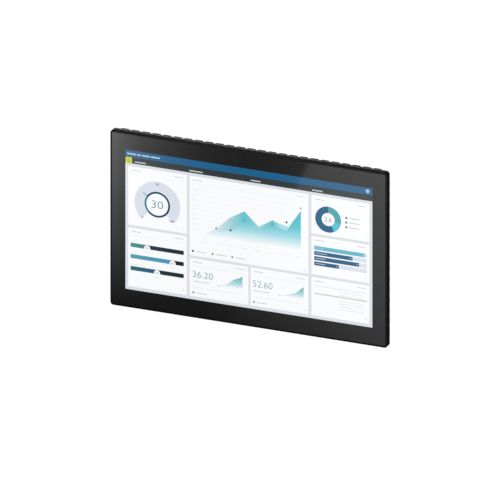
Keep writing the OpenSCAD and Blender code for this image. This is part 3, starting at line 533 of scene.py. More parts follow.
def rib_row_tree():
    """Path in the XY plane, ribs across Z: inputs are numbers in millimetres."""
    inputs = [("Path", "Geometry"), ("Count", "Int"), ("Coat", "Material")]
    inputs += [(name, "Float") for name in ("First", "Pitch", "Width", "Height", "Round", "Bend")]
    tree, given = tree_with_inputs("rib_row", inputs, "Ribs")

    # the section: a bar twice the height whose corners are quarter circles, then stretched sideways
    squeeze = add(tree, "ShaderNodeMath", {0: given["Height"], 1: given["Round"]}, operation="DIVIDE")
    narrow = add(tree, "ShaderNodeMath", {0: given["Width"], 1: squeeze}, operation="MULTIPLY")
    twice = add(tree, "ShaderNodeMath", {0: given["Height"], 1: 2.0}, operation="MULTIPLY")
    flat_bar = add(tree, "GeometryNodeCurvePrimitiveQuadrilateral", {"Width": twice, "Height": narrow},
                   mode="RECTANGLE")
    eased = add(tree, "GeometryNodeFilletCurve",
                {"Curve": flat_bar, "Count": 7, "Radius": given["Height"], "Limit Radius": True}, mode="POLY")
    stretch = add(tree, "ShaderNodeMath", {0: given["Round"], 1: given["Height"]}, operation="DIVIDE")
    scale = add(tree, "ShaderNodeCombineXYZ", {"X": 1.0, "Y": stretch, "Z": 1.0})
    section = add(tree, "GeometryNodeTransform", {"Geometry": eased, "Scale": scale})

    # the sweep along the path, with the section kept upright
    line = add(tree, "GeometryNodeMeshToCurve", {"Mesh": given["Path"]})
    bent = add(tree, "GeometryNodeFilletCurve",
               {"Curve": line, "Count": 5, "Radius": given["Bend"], "Limit Radius": True}, mode="POLY")
    upright = add(tree, "GeometryNodeSetCurveNormal", {"Curve": bent}, mode="Z_UP")
    rib = add(tree, "GeometryNodeCurveToMesh",
              {"Curve": upright, "Profile Curve": section, "Fill Caps": True})

    # copies at the pitch
    start = add(tree, "ShaderNodeCombineXYZ", {"Z": given["First"]})
    step = add(tree, "ShaderNodeCombineXYZ", {"Z": given["Pitch"]})
    row = add(tree, "GeometryNodeMeshLine",
              {"Count": given["Count"], "Start Location": start, "Offset": step}, mode="OFFSET")
    return end_with_copies(tree, "Ribs", row, rib, given["Coat"])


def worked_out(made, tree, **values):
    """Puts a Geometry Nodes tree on an object, sets its inputs by name, and returns the plain mesh."""
    change = made.modifiers.new(tree.name, "NODES")
    change.node_group = tree
    for item in tree.interface.items_tree:
        if item.in_out == "INPUT" and item.name in values:
            change[item.identifier] = values[item.name]
    return baked(made)


RIB_ROW = rib_row_tree()


def rib_row(path, first, last, side):
    """Ribs first to last of a row over one edge of the panel, as a blank. side: top, foot, left or right."""
    links = [(i, i + 1) for i in range(len(path) - 1)]
    mesh = bpy.data.meshes.new("rib_path")
    mesh.from_pydata([(x, depth - PAD_D, 0) for x, depth in path], links, [])
    mesh = worked_out(placed("rib_path", mesh), RIB_ROW, First=first * RIB_PITCH, Count=last - first + 1,
                      Pitch=RIB_PITCH, Width=RIB_W, Height=RIB_H, Round=RIB_ROUND, Bend=RIB_BEND,
                      Coat=powder_coat)
    quarter_turns = {"right": 0, "top": 1, "left": 2, "foot": 3}[side]
    mesh.transform(Matrix.Rotation(-math.pi / 2 * quarter_turns, 4, "Y"))
    return placed("rib_row", mesh)


# %% [markdown]
# ## The die-cast housing
# Molten aluminium shrinks as it sets, so every wall of a casting leans, and every inner corner has a
# fillet. The housing is one skin from the rim over the slope to the flat back. The ribs are trimmed to
# an outer envelope and joined to it, then come the pad for the mount and the rim of the connection
# bay. At last the inside, the bay, the ports and the holes are cut out, as a mould and a drill do.
# Where the housing meets the frame it steps in a little: that shadow line hides a small mismatch.
# The step gets the same dull near-black as the frame's sides, which is painted shade for that line.

# %% The skin, its envelope and the hollow
RIM_FRONT_D, RIM_D = 3.8, 13.2  # the rim, between its ribs
SHOULDER_D, BACK_D = 22.0, 41.0  # where the slope turns, and the flat back
WALL = 2.5
STEP_IN, STEP_D = 1.3, 5.6  # the shadow line at the joint
FOOT_IN, SHOULDER_IN = 13.0, 17.0  # insets of the slope's foot and of the shoulder
CROWN_X, CROWN_Z = 52.0, 44.0  # insets of the flat back, at the sides and at the top and bottom
BODY_CORNER = 16.0
INNER_CORNER, INNER_IN = 3.8, 2.2  # the rim's inner outline
FLANGE_D, INNER_BACK_D = RIM_D - WALL, BACK_D - WALL


def shell(profile, reaches):
    """A skin whose outlines follow a profile of (inset, depth, corner radius). The last two insets
    count from the crown, which lies further in at the sides than at the top and bottom."""
    paths = []
    for crown in (CROWN_X, CROWN_Z):
        points = [Vector(p) for p in profile]
        for point in points[-2:]:
            point.x += crown
        paths.append(rounded_path(points, reaches))
    outlines = [(half_w - a.x, half_h - b.x, a.z, a.y, b.y) for a, b in zip(*paths)]
    return blank(shapes((loft, outlines)))


casting = shell([(STEP_IN, RIM_FRONT_D, CORNER - STEP_IN), (STEP_IN, STEP_D, CORNER - STEP_IN),
                 (0, STEP_D + 0.2, CORNER), (0, RIM_D, CORNER), (FOOT_IN, RIM_D, BODY_CORNER),
                 (SHOULDER_IN, SHOULDER_D, BODY_CORNER), (0, BACK_D, BODY_CORNER), (10, BACK_D, BODY_CORNER)],
                [0, 0, 1.2, 2.0, 3.0, 6.0])
envelope = shell([(0, RIM_FRONT_D, CORNER), (0, RIM_D + RIB_H, CORNER),
                  (FOOT_IN - RIB_H, RIM_D + RIB_H, BODY_CORNER),
                  (SHOULDER_IN - RIB_H, SHOULDER_D + RIB_H / 2, BODY_CORNER),
                  (-RIB_H / 2, BACK_D + RIB_H, BODY_CORNER), (10, BACK_D + RIB_H, BODY_CORNER)],
                 [0.9, 1.5, 3.0, 6.0])
hollow = shell([(INNER_IN, RIM_FRONT_D - 1, INNER_CORNER), (INNER_IN, FLANGE_D, INNER_CORNER),
                (FOOT_IN + WALL, FLANGE_D, BODY_CORNER),
                (SHOULDER_IN + WALL, SHOULDER_D - WALL / 2, BODY_CORNER),
                (WALL / 2, INNER_BACK_D, BODY_CORNER), (6, INNER_BACK_D, BODY_CORNER)], [0, 0, 2.0, 3.0])

# %% Rows of ribs, trimmed and joined
LAST_LONG, LAST_SHORT, LAST_STUB = 10, 11, 12  # numbers of the last ribs at each side of the middle one
LAST_SIDE = 7
FADE_IN = 30.0  # inset where the short ribs have died away
SIDE_START = 1.6  # the side ribs start this far inside the edge
OVER = 2  # the others start this far outside it, and the envelope trims them


def long_path(half):
    """From rim to rim over the back."""
    side = [(half - FOOT_IN, RIM_D), (half - SHOULDER_IN, SHOULDER_D), (half - CROWN_Z, BACK_D)]
    return [(half + OVER, RIM_D), *side, *[(-x, d) for x, d in side[::-1]], (-half - OVER, RIM_D)]


def short_path(half, crown, start):
    """From the rim up the slope, where the path dives below the casting's skin."""
    share = (FADE_IN - SHOULDER_IN) / (crown - SHOULDER_IN)
    slope = Vector((SHOULDER_IN - crown, BACK_D - SHOULDER_D)).normalized()
    end = Vector((half - FADE_IN, SHOULDER_D + share * (BACK_D - SHOULDER_D)))
    end -= Vector((slope.y, -slope.x)) * (RIB_H + 0.4)
    return [(half - start, RIM_D), (half - FOOT_IN, RIM_D), (half - SHOULDER_IN, SHOULDER_D), tuple(end)]


stub_path = [(half_h + OVER, RIM_D), (half_h - FOOT_IN - 1, RIM_D - 0.45 * RIB_H)]
rows = [rib_row(long_path(half_h), -LAST_LONG, LAST_LONG, "top")]
for side in ("top", "foot"):
    for first, last, path in ((LAST_SHORT, LAST_SHORT, short_path(half_h, CROWN_Z, -OVER)),
                              (LAST_SHORT + 1, LAST_STUB, stub_path)):
        rows += [rib_row(path, first, last, side), rib_row(path, -last, -first, side)]
for side in ("left", "right"):
    rows.append(rib_row(short_path(half_w, CROWN_X, SIDE_START), -LAST_SIDE, LAST_SIDE, side))
bm = bmesh.new()
for row in rows:
    bm.from_mesh(row.data)
    bpy.data.objects.remove(row)
ribs = carved(bm, "INTERSECT", envelope)
print("ribs:", len(ribs.data.polygons), "faces after trimming")
casting = carved(casting, "UNION", ribs)

# %% Pad, bay and bosses
BAY_W, BAY_H, BAY_Z = 216.0, 56.0, -100.0  # the connection bay's width, height and middle
BAY_FLOOR_D, BAY_D = 22.0, 49.0
BAY_RIM, COVER_CORNER = 8.0, 7.0
BAY_TOP, BAY_BOTTOM = BAY_Z + BAY_H / 2, BAY_Z - BAY_H / 2
BAY_FOOT = BAY_BOTTOM - BAY_RIM
BOARD_D = 24.0  # the back of the main board
CABLE_D = 42.0  # the row of grommets
SCREW_SEAT_D = 12.0  # the floor of the housing screws' pockets
PAD_HALF, PAD_CORNER = 62, 8
PAD_ROOM = 39  # half the width of the hollow under the pad


def plateau(half_width, half_height, radius, centre_z, profile, reaches):
    """A raised block with its own outline; the profile gives how far it grows at each depth."""
    path = rounded_path(profile, reaches)
    outlines = [(half_width + p.x, half_height + p.x, radius + p.x, p.y) for p in path]
    return blank(shapes((loft, outlines, (0, centre_z))))


pad = plateau(PAD_HALF, PAD_HALF, PAD_CORNER, 0,
              [(4.5, INNER_BACK_D), (4.5, BACK_D - 0.2), (0, BACK_D), (0, PAD_D), (-4, PAD_D)], [0, 3.0, 0.9])
bay_block = plateau(BAY_W / 2 + BAY_RIM, BAY_H / 2 + BAY_RIM, COVER_CORNER, BAY_Z,
                    [(0, INNER_BACK_D), (0, BAY_D), (-4, BAY_D)], [0.7])
pad_hollow = plateau(PAD_ROOM, PAD_ROOM, PAD_CORNER / 2, 0,
                     [(0, INNER_BACK_D - 1), (0, PAD_D - 5), (-4, PAD_D - 5)], [2.0])
tub = plateau(BAY_W / 2 + WALL, BAY_H / 2 + WALL, COVER_CORNER, BAY_Z,
              [(-4, BAY_FLOOR_D - WALL), (0, BAY_FLOOR_D - WALL), (0, INNER_BACK_D + 1)], [2.0])
for operation, tool in (("UNION", pad), ("UNION", bay_block), ("DIFFERENCE", hollow),
                        ("DIFFERENCE", pad_hollow), ("UNION", tub)):
    casting = carved(casting, operation, tool)

BOSS_X, BOSS_Z, BOSS_R = (-114, 114), (-46.9, 43.1), 3.6
bay_wall = (box, -109, 109, 30, INNER_BACK_D + 1, BAY_FOOT, BAY_BOTTOM)
heat_block = (box, -94, -62, BOARD_D + 3.6, INNER_BACK_D + 1, -10, 22)  # draws heat from the processor
bosses = [(bar, at(x, 0, z), BOSS_R, BOARD_D, INNER_BACK_D + 1, "depth", 24) for x in BOSS_X for z in BOSS_Z]
casting = carved(casting, "UNION", shapes(bay_wall, heat_block, *bosses))

# %% Cut-outs
# each port's hole: middle, width and height
PORTS = {
    "power": (-84, 20.24, 12), "net_a": (-57, 16, 13.3), "net_b": (-37, 16, 13.3), "usb_a": (-17, 14.4, 7.2),
    "usb_b": (1, 14.4, 7.2), "usb_c": (19, 14.4, 7.2), "serial": (45, 31, 12.6), "cards": (80, 28, 10.7),
}
PORT_FIT = 0.3  # room round each port
cover_screw_places = island_centres("cover_screws")
insert_places = island_centres("mount_inserts")
grommet_places = island_centres("cable_grommets")
plate_screw_places = island_centres("cable_plate_screws")
bay_path = rounded_path([(-4, BAY_FLOOR_D), (0, BAY_FLOOR_D), (0, BAY_D + 1)], [1.6])
opened = [(BAY_W / 2 + p.x, BAY_H / 2 + p.x, 3 + max(p.x, -2.5), p.y) for p in bay_path]
plate_flat = (box, -64.5, 64.5, 34.8, PAD_D, BAY_FOOT - 8, BAY_FOOT)  # where the cable plate sits
casting = carved(casting, "DIFFERENCE", shapes((loft, opened, (0, BAY_Z)), plate_flat))

cuts = []
for x, width, height in PORTS.values():
    reach = width / 2 + PORT_FIT
    cuts.append((box, x - reach, x + reach, BOARD_D - PORT_FIT, BOARD_D + height + PORT_FIT,
                 BAY_TOP - 1, BAY_TOP + 3.5))
for places, levels in (
    (housing_screw_places, [(1.7, 9.7), (1.7, SCREW_SEAT_D), (3.65, SCREW_SEAT_D), (3.65, 23.4)]),
    (cover_screw_places, [(1.55, BAY_D - 9), (1.55, BAY_D - 0.4), (1.95, BAY_D), (1.95, BAY_D + 1)]),
    (insert_places, [(3.0, PAD_D - 10), (3.0, PAD_D - 0.3), (3.3, PAD_D), (3.3, PAD_D + 1)]),
):
    cuts += [(turned, at(place.x, 0, place.z), levels) for place in places]
cuts += [(bar, at(p.x, CABLE_D, 0), 4.6, BAY_FOOT - 3, BAY_BOTTOM + 1, "up") for p in grommet_places]
cuts += [(bar, at(p.x, CABLE_D, 0), 1.3, BAY_FOOT - 3, BAY_BOTTOM - 2, "up", 24) for p in plate_screw_places]
casting = carved(casting, "DIFFERENCE", shapes(*cuts))


def painted_shade_step(middle, direction):
    """The step at the joint, seen from outside, painted near-black as its shade."""
    return middle.y < STEP_D + 0.25 - PAD_D


# the step at the joint gets the near-black that paints its shade
finished("housing_casting", casting, [powder_coat, joint_shade_black], slot="housing", stands_for=["rear_housing"],
         crisp=30, second=painted_shade_step)

# %% [markdown]
# ## Screws, inserts and grommets
# Small bought parts repeat, so each is drawn once and a Geometry Nodes tree sets a copy at every place
# that the solid model gives. The screws are pan heads with a six-lobed socket, which a power driver
# doesn't slip out of. Their threads are drawn as rings, which at half a millimetre look the same.

# %% Geometry Nodes tree for copies at given places
def copies_tree():
    """Sets a copy of an object on every point of the places."""
    inputs = [("Places", "Geometry"), ("Piece", "Object"), ("Finish", "Material")]
    tree, given = tree_with_inputs("copies_at_places", inputs, "Copies")
    piece = add(tree, "GeometryNodeObjectInfo", {"Object": given["Piece"]})
    return end_with_copies(tree, "Copies", given["Places"], piece.outputs["Geometry"], given["Finish"])


COPIES = copies_tree()


def copies(name, source, places, finish, **settings):
    """One finished piece made of copies of a bmesh or a blank, which is drawn round the origin."""
    piece = as_blank(source, name + "_piece")
    mesh = bpy.data.meshes.new(name + "_places")
    mesh.from_pydata([tuple(p) for p in places], [], [])
    mesh = worked_out(placed(name, mesh), COPIES, Piece=piece, Finish=finish)
    bpy.data.objects.remove(piece)
    return finished(name, placed(name, mesh), [finish], **settings)


def at_depth(places, depth):
    """The same places across and up, at one depth."""
    return [at(p.x, depth, p.z) for p in places]


# %% Screws
LOBES = 0.136  # how deep the six lobes of a screw's socket are, as a share of its radius


def thread(radius, start, end, pitch=0.5, cut=0.2):
    """Levels of a threaded stretch between two distances along its axis."""
    turns = int(abs(end - start) / pitch)
    step = (end - start) / turns
    return [(radius - cut * (i % 2), start + step * i / 2) for i in range(2 * turns + 1)]


def screw(shaft, length, head, head_h, sign=1.0, axis="depth"):
    """A pan-head screw whose head stands on the origin; sign -1 turns it over."""
    socket = head * 0.484
    levels = [(shaft * 0.7, -length), *thread(shaft, 0.4 - length, -0.2), (shaft, 0)]
    levels += [(head - 0.1, 0), (head, 0.1), (head, head_h * 0.55), (head - 0.12, head_h * 0.8),
               (head - 0.4, head_h * 0.96), (head - 0.75, head_h)]
    levels += [(socket + 0.08, head_h, LOBES), (socket, head_h - 0.08, LOBES), (socket, head_h * 0.4, LOBES),
               (socket * 0.2, head_h * 0.32, LOBES)]
    turned_over = [(radius, sign * along, *lobes) for radius, along, *lobes in levels]
    return shapes((turned, (0, 0, 0), turned_over, axis, 36))


COVER_FRONT_D, COVER_D = 50.0, 53.0
PLATE_Z = BAY_FOOT - 3  # the cable plate's outer face
grommet_spots = [at(p.x, CABLE_D, PLATE_Z) for p in grommet_places]
plate_screw_spots = [at(p.x, CABLE_D, PLATE_Z) for p in plate_screw_places]
copies("housing_screw_set", screw(1.25, 6.5, 2.75, 1.8), at_depth(housing_screw_places, SCREW_SEAT_D),
       zinc_steel, slot="screws", stands_for=["housing_screws"])
copies("cover_screw_set", screw(1.5, 11, 2.7, 1.8), at_depth(cover_screw_places, COVER_D), zinc_steel,
       body="cover", slot="screws", stands_for=["cover_screws"])
copies("plate_screw_set", screw(1.2, 8, 2.6, 1.8, -1, "up"), plate_screw_spots, zinc_steel, slot="screws",
       stands_for=["cable_plate_screws"])

# %% Inserts, grommets and earth stud
insert = [(3.0, -10), (3.0, -0.25), (2.8, 0), (1.95, 0), (1.7, -0.25),
          *thread(1.85, -0.4, -9.8, 0.7), (1.65, -10)]
copies("threaded_inserts", shapes((turned, (0, 0, 0), insert, "depth", 48, True)),
       at_depth(insert_places, PAD_D), brass, slot="inserts", stands_for=["mount_inserts"])

lip = rounded_path([(4.6, 2.0), (4.6, 0), (5.8, 0), (5.8, -1.6), (4.5, -1.7), (3.5, -2.8), (2.7, -2.8),
                    (2.2, -2.2), (0.5, -2.0)], [0, 0.3, 0.5, 0.4, 0.4, 0.3, 0.3], 3)
grommet = [(4.2, 11), (4.6, 10.6), *[tuple(p) for p in lip]]
copies("membrane_grommets", shapes((turned, (0, 0, 0), grommet, "up")), grommet_spots, rubber,
       slot="grommets", stands_for=["cable_grommets"])

stud_low, stud_high = (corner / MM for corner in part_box("earth_stud"))
stud = (stud_low + stud_high) / 2
stud_levels = [(2.5, 20.2), (2.5, 22), (4.3, 22), (4.5, 22.2), (4.5, 23), (4.3, 23.2),
               *thread(2.5, 23.2, 35.4, 0.8, 0.3), (1.9, 36)]
finished("earth_stud_turned", shapes((turned, (stud.x, -PAD_D, stud.z), stud_levels)), [brass],
         slot="earth_stud", stands_for=["earth_stud"])

# %% [markdown]
# ## Cable plate and bay cover
# The plate closes the cable entry and holds the grommets. The cover closes the bay, and its ribs
# carry on the pattern of the housing. Both are cast or cut from plate, coated, and have soft edges.

# %% Cable plate
soft_edges = ((-0.4, 0), (0, 0.4), (0, 2.4), (-0.6, 3.0))
plate = shapes((loft, [(63 + g, 6.4 + g, 4 + g, PAD_D - BAY_FOOT + d) for g, d in soft_edges]))
plate.transform(Matrix(((1, 0, 0, 0), (0, 0, 1, CABLE_D - PAD_D), (0, -1, 0, 0), (0, 0, 0, 1))))  # laid flat
holes = [(bar, spot, 4.6, -2, 5, "up") for spot in grommet_spots]
holes += [(bar, spot, 1.7, -2, 5, "up") for spot in plate_screw_spots]
finished("cable_plate_coated", carved(plate, "DIFFERENCE", shapes(*holes)), [powder_coat], slot="cable_plate",
         stands_for=["cable_plate"])

# %% Bay cover
COVER_GAP = 0.2  # the cover is this much smaller than its seat, all round
COVER_RIB_D = COVER_D + 1.4
cover = plateau(BAY_W / 2 + BAY_RIM - COVER_GAP, BAY_H / 2 + BAY_RIM - COVER_GAP, COVER_CORNER, BAY_Z,
                [(-0.4, COVER_FRONT_D), (0, COVER_FRONT_D + 0.4), (0, COVER_D), (-3, COVER_D)], [0, 0.8])
wave = rounded_path([(1.2, COVER_D - 0.2), (0, COVER_D), (0, COVER_RIB_D), (-3, COVER_RIB_D)], [0.2, 1.1])
cover_rib = [((RIB_W - 3) / 2 + p.x, (BAY_H - 10) / 2 + p.x, 3 + p.x, p.y) for p in wave]
cover_ribs = shapes(*[(loft, cover_rib, (index * RIB_PITCH, BAY_Z)) for index in range(-4, 5)])
holes = shapes(*[(bar, spot, 1.8, -1, 4) for spot in at_depth(cover_screw_places, COVER_FRONT_D)])
cover = carved(carved(cover, "UNION", cover_ribs), "DIFFERENCE", holes)
finished("bay_cover_coated", cover, [powder_coat], body="cover", slot="housing", stands_for=["bay_cover"])

# %% [markdown]
# ## The ports in the bay
# With the cover off, plugs go in from below. The network and USB ports are folded from plated sheet
# round a moulding, and their contacts are gold plated. The power header is a moulding with three
# tinned pins, and the serial port has a pressed shell in the shape of a D.

# %% Power header
PORT_Z = -72.5  # the ports' mouths
PIN_PITCH = 5.08


def port_box(bm, x, half_width, d0, d1, low, high):
    """A block centred on x; low and high count up from the ports' mouths."""
    box(bm, x - half_width, x + half_width, d0, d1, PORT_Z + low, PORT_Z + high)


def with_mouth(outer, mouth):
    """One block with another cut out of it, as a blank. Each is given by port_box's values."""
    return carved(shapes((port_box, *outer)), "DIFFERENCE", shapes((port_box, *mouth)))


x, width, height = PORTS["power"]
header = with_mouth((x, width / 2, BOARD_D, BOARD_D + height, 0, 12),
                    (x, width / 2 - 1.2, BOARD_D + 1.2, BOARD_D + height - 1.2, -1, 9))
finished("power_header", header, [green_nylon], slot="power_socket", stands_for=["power_socket"])
pin = shapes((turned, (0, 0, 0), [(0.3, 0), (0.6, 0.5), (0.6, 7.0)], "up", 24))
copies("power_pins", pin, [at(x + i * PIN_PITCH, BOARD_D + 6, PORT_Z + 2.5) for i in (-1, 0, 1)], nickel,
       slot="port_shell")

# %% Network ports
NET_PORTS = ("net_a", "net_b")
NET_H = PORTS["net_a"][2]
NET_MID = BOARD_D + NET_H / 2
for name in NET_PORTS:
    x = PORTS[name][0]
    shell_part = with_mouth((x, 8, BOARD_D, BOARD_D + NET_H, 0, 21),
                            (x, 6.5, NET_MID - 4.7, NET_MID + 6.1, -1, 15))
    finished("network_shell_" + name, shell_part, [nickel], slot="port_shell", stands_for=["ethernet_ports"])
    liner = with_mouth((x, 6.45, NET_MID - 4.65, NET_MID + 6.05, 0.3, 14.9),
                       (x, 5.9, NET_MID - 4, NET_MID + 4, -1, 13))
    latch = shapes((port_box, x, 3, NET_MID + 3.9, NET_MID + 5.6, -1, 11))
    finished("network_liner_" + name, carved(liner, "DIFFERENCE", latch), [black_epoxy], slot="chips")
bm = bmesh.new()
ends = ((0.2, 0.02, 0.3, 0.0), (0.2, 2.1, 2.4, 8.5))  # half the width, front, back and height of each end
skin(bm, [[bm.verts.new(p) for p in ((-w, a, z), (w, a, z), (w, b, z), (-w, b, z))] for w, a, b, z in ends])
copies("network_contacts", bm, [at(PORTS[name][0] + (i - 3.5) * 1.02, NET_MID - 3.95, PORT_Z + 3)
                                for name in NET_PORTS for i in range(8)], gold, slot="inserts")

# %% USB ports
USB_PORTS = ("usb_a", "usb_b", "usb_c")
USB_H = PORTS["usb_a"][2]
USB_MID = BOARD_D + USB_H / 2
for name in USB_PORTS:
    x, width, height = PORTS[name]
    shell_part = with_mouth((x, width / 2, BOARD_D, BOARD_D + USB_H, 0, 17),
                            (x, 6.25, USB_MID - 2.55, USB_MID + 2.55, -1, 11.5))
    finished("usb_shell_" + name[-1], shell_part, [nickel], slot="port_shell", stands_for=["usb_ports"])
tongues = [(port_box, PORTS[name][0], 5.5, USB_MID - 0.2, USB_MID + 1.7, 0.6, 11.49) for name in USB_PORTS]
finished("usb_tongues", shapes(*tongues), [blue_shell], slot="data_card")
contact = shapes((box, -0.5, 0.5, PAD_D - 0.12, PAD_D + 0.05, 1.0, 8.5))
copies("usb_contacts", contact, [at(PORTS[name][0] + i, BOARD_D + 3.4, PORT_Z + 0.6) for name in USB_PORTS
                                 for i in (-3.5, -1, 1, 3.5)], gold, slot="inserts")

# %% Serial port
serial_x, serial_w, serial_h = PORTS["serial"]
SERIAL_MID = BOARD_D + serial_h / 2
FLANGE_T = 0.8
CONTACT_PITCH, ROW_PITCH = 2.77, 2.8


def d_prism(bm, grow, low, high):
    """A prism in the D shape of the serial port's shell; low and high count up from the mouths."""
    wide, narrow, half = 8.3 + grow, 7.0 + grow, 4.1 + grow
    outline = ((-wide, half), (wide, half), (narrow, -half), (-narrow, -half))
    middle = at(serial_x, SERIAL_MID, PORT_Z)
    skin(bm, [[bm.verts.new(middle + Vector((x, d, z))) for x, d in outline] for z in (low, high)])


serial_block = (port_box, serial_x, serial_w / 2, BOARD_D, BOARD_D + serial_h)
finished("serial_body", shapes((*serial_block, FLANGE_T, 12)), [black_epoxy], slot="chips",
         stands_for=["serial_port"])
flange = carved(shapes((*serial_block, 0, FLANGE_T)), "UNION", shapes((d_prism, 0, -5, 0.2)))
flange = carved(flange, "DIFFERENCE", shapes((d_prism, -0.5, -6, -0.4)))
finished("serial_shell", flange, [nickel], slot="port_shell", crisp=30)
contact_holes = []
for row in (0, 1):
    for i in range(5 - row):
        spot = at(serial_x + (i - 2 + row / 2) * CONTACT_PITCH, SERIAL_MID + (0.5 - row) * ROW_PITCH, PORT_Z)
        contact_holes.append((bar, spot, 0.55, -5, -0.6, "up", 16))
insulator = carved(shapes((d_prism, -0.5, -4.4, -0.4)), "DIFFERENCE", shapes(*contact_holes))
finished("serial_insulator", insulator, [black_epoxy], slot="chips")
hex_stud = carved(shapes((turned, (0, 0, 0), [(2.3, -4), (2.7, -3.6), (2.7, 0)], "up", 6)), "DIFFERENCE",
                  shapes((bar, (0, 0, 0), 1.3, -5, -1, "up", 24)))
copies("serial_hex_studs", hex_stud, [at(serial_x + x, SERIAL_MID, PORT_Z) for x in (-12.5, 12.5)], nickel,
       slot="port_shell")

# %% Contacts of the memory cards
for name in ("data_card", "system_card"):
    low, high = (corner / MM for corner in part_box(name))
    contact = shapes((box, -1.1, 1.1, PAD_D - 0.03, PAD_D + 0.06, -5.0, 0))
    first_x = (low.x + high.x) / 2 - 4 * 2.5 - 0.6
    copies(name + "_contacts", contact, [(first_x + i * 2.5, high.y, high.z - 0.8) for i in range(8)], gold,
           body=name, slot="inserts")

# %% [markdown]
# ## The lit picture
# The screen is on, so it sends out its own light, and the glass in front of it still mirrors the
# room. Each colour is a smooth black surface that glows, which gives both. A bitmap could hold the
# picture, but drawn shapes stay sharp at any distance. They are laid out in millimetres from the
# picture's upper left corner, right and down, as a screen designer would draw them. Every shape is a
# closed sheet a fiftieth of a millimetre thick, and what covers another shape lies one layer higher:
# the page is layer 1, tiles and bars are layer 2, and what is drawn on those starts at layer 3.

# %% Glowing colours
PICTURE_H = 267.3  # the drawing's own height
LIT_H = 266.1  # the drawing is pressed to this height on the glass
PICTURE_LEFT, PICTURE_TOP = -238.1, 133.95
PAGE_LEFT, PAGE_W = 1.5, 474.3  # the page's left edge in the drawing, and its width
LIT_GLASS = {"Base_Color": linear("#020202"), "Roughness": 0.05, "IOR": 1.5}
lit_colours = {}


def lit(hex_colour):
    """One colour of the lit screen behind smooth glass. Each colour is made once."""
    if hex_colour not in lit_colours:
        lit_colours[hex_colour] = new_finish("lit_screen_" + hex_colour[1:], **LIT_GLASS,
                                             Emission_Color=linear(hex_colour), Emission_Strength=1.0)[0]
    return lit_colours[hex_colour]


def lit_blend(name, stops, start, end, across=True):
    """A lit colour that changes from start to end, in picture millimetres across or down."""
    made, tree, shader = new_finish("lit_screen_" + name, **LIT_GLASS, Emission_Strength=1.0)
    parts = add(tree, "ShaderNodeSeparateXYZ", {"Vector": add(tree, "ShaderNodeTexCoord").outputs["Object"]})
    places = [(PICTURE_LEFT + p if across else PICTURE_TOP - p) * MM for p in (start, end)]
    share = add(tree, "ShaderNodeMapRange", {"Value": parts.outputs["X" if across else "Z"],
                                             "From Min": places[0], "From Max": places[1]})
    ramp = add(tree, "ShaderNodeValToRGB", {"Fac": share})
    fill(tree, shader, {"Emission Color": set_stops(ramp, [(where, linear(tone)) for where, tone in stops])})
    return made


# %% Flat shapes on the picture
def on_glass(across, down, layer):
    """A point of the picture in millimetres, on top of a given number of layers."""
    depth = GLASS_FRONT_D - layer * PICTURE_STEP
    return at(PICTURE_LEFT + across, depth, PICTURE_TOP - down * LIT_H / PICTURE_H)


def sheet(bm, outline, layer):
    """A closed thin sheet with any outline."""
    skin(bm, [[bm.verts.new(on_glass(x, z, level)) for x, z in outline] for level in (layer - 1, layer)])


def block(bm, left, top, width, height, layer):
    """A plain rectangle, or a short bar in place of a word."""
    sheet(bm, rectangle(left, left + width, top, top + height), layer)


def on_arc(centre, radius, start, end, count):
    """Points on a circle from start to end, in degrees clockwise from the top."""
    turns = [math.radians(start + (end - start) * i / count) for i in range(count + 1)]
    return [(centre[0] + radius * math.sin(t), centre[1] - radius * math.cos(t)) for t in turns]


def disc(bm, centre, radius, layer, count=36):
    """A round dot."""
    sheet(bm, on_arc(centre, radius, 0, 360, count)[:-1], layer)


def arc_band(bm, centre, inner, outer, start, end, layer):
    """A part of a ring from start to end, in degrees clockwise from the top."""
    count = max(4, round(abs(end - start) / 4))
    slices = []
    for near, far in zip(*(on_arc(centre, radius, start, end, count) for radius in (inner, outer))):
        corners = ((near, layer - 1), (near, layer), (far, layer), (far, layer - 1))
        slices.append([bm.verts.new(on_glass(*point, level)) for point, level in corners])
    skin(bm, slices)


def bars(spots, height, layer=3):
    """Bars of one height, as in place of words, each given by its left edge, top and width."""
    return [(block, left, top, width, height, layer) for left, top, width in spots]


def dots(centres, radius, layer=3, count=20):
    """Round dots of one size."""
    return [(disc, centre, radius, layer, count) for centre in centres]


def shown(name, bm, finish):
    """A finished shape of the picture; its sides are crisp."""
    return finished("picture_" + name, bm, [finish], slot="lcd_cell", crisp=30)


def drawn(name, hex_colour, parts):
    """A piece made of several flat shapes in one colour. Each is a helper followed by its values."""
    return shown(name, shapes(*parts), lit(hex_colour))


# %% [markdown]
# ### Page, bars and tiles
# A control page has a coloured title bar, a dark row of tabs, and pale tiles with grey gaps between
# them. The two bars have one tone each: that they look paler at the sides is the glass's doing.

# %% Page, bars and tiles
BAR_H, TABS_H = 13.1, 11.7
TILES = {  # left, top, width, height
    "gauge": (6.8, 30.5, 112.7, 112.5),
    "sliders": (6.8, 148.3, 112.7, 112.8),
    "trend": (124.7, 30.5, 228.1, 152.7),
    "meter_a": (124.7, 188.2, 112.9, 72.9),
    "meter_b": (241.9, 188.2, 110.9, 72.9),
    "ring": (358.8, 30.5, 111.2, 73.5),
    "bars": (358.8, 109.2, 111.2, 73.4),
    "table": (358.8, 187.6, 111.2, 73.5),
}
drawn("page", "#d9dde3", [(block, PAGE_LEFT, 0, PAGE_W, PICTURE_H, 1)])
drawn("tiles", "#f7f8fa", [(block, *tile, 2) for tile in TILES.values()])
drawn("title_bar", "#025a86", [(block, PAGE_LEFT, 0, PAGE_W, BAR_H, 2)])
drawn("tab_bar", "#273032", [(block, PAGE_LEFT, BAR_H, PAGE_W, TABS_H, 2)])

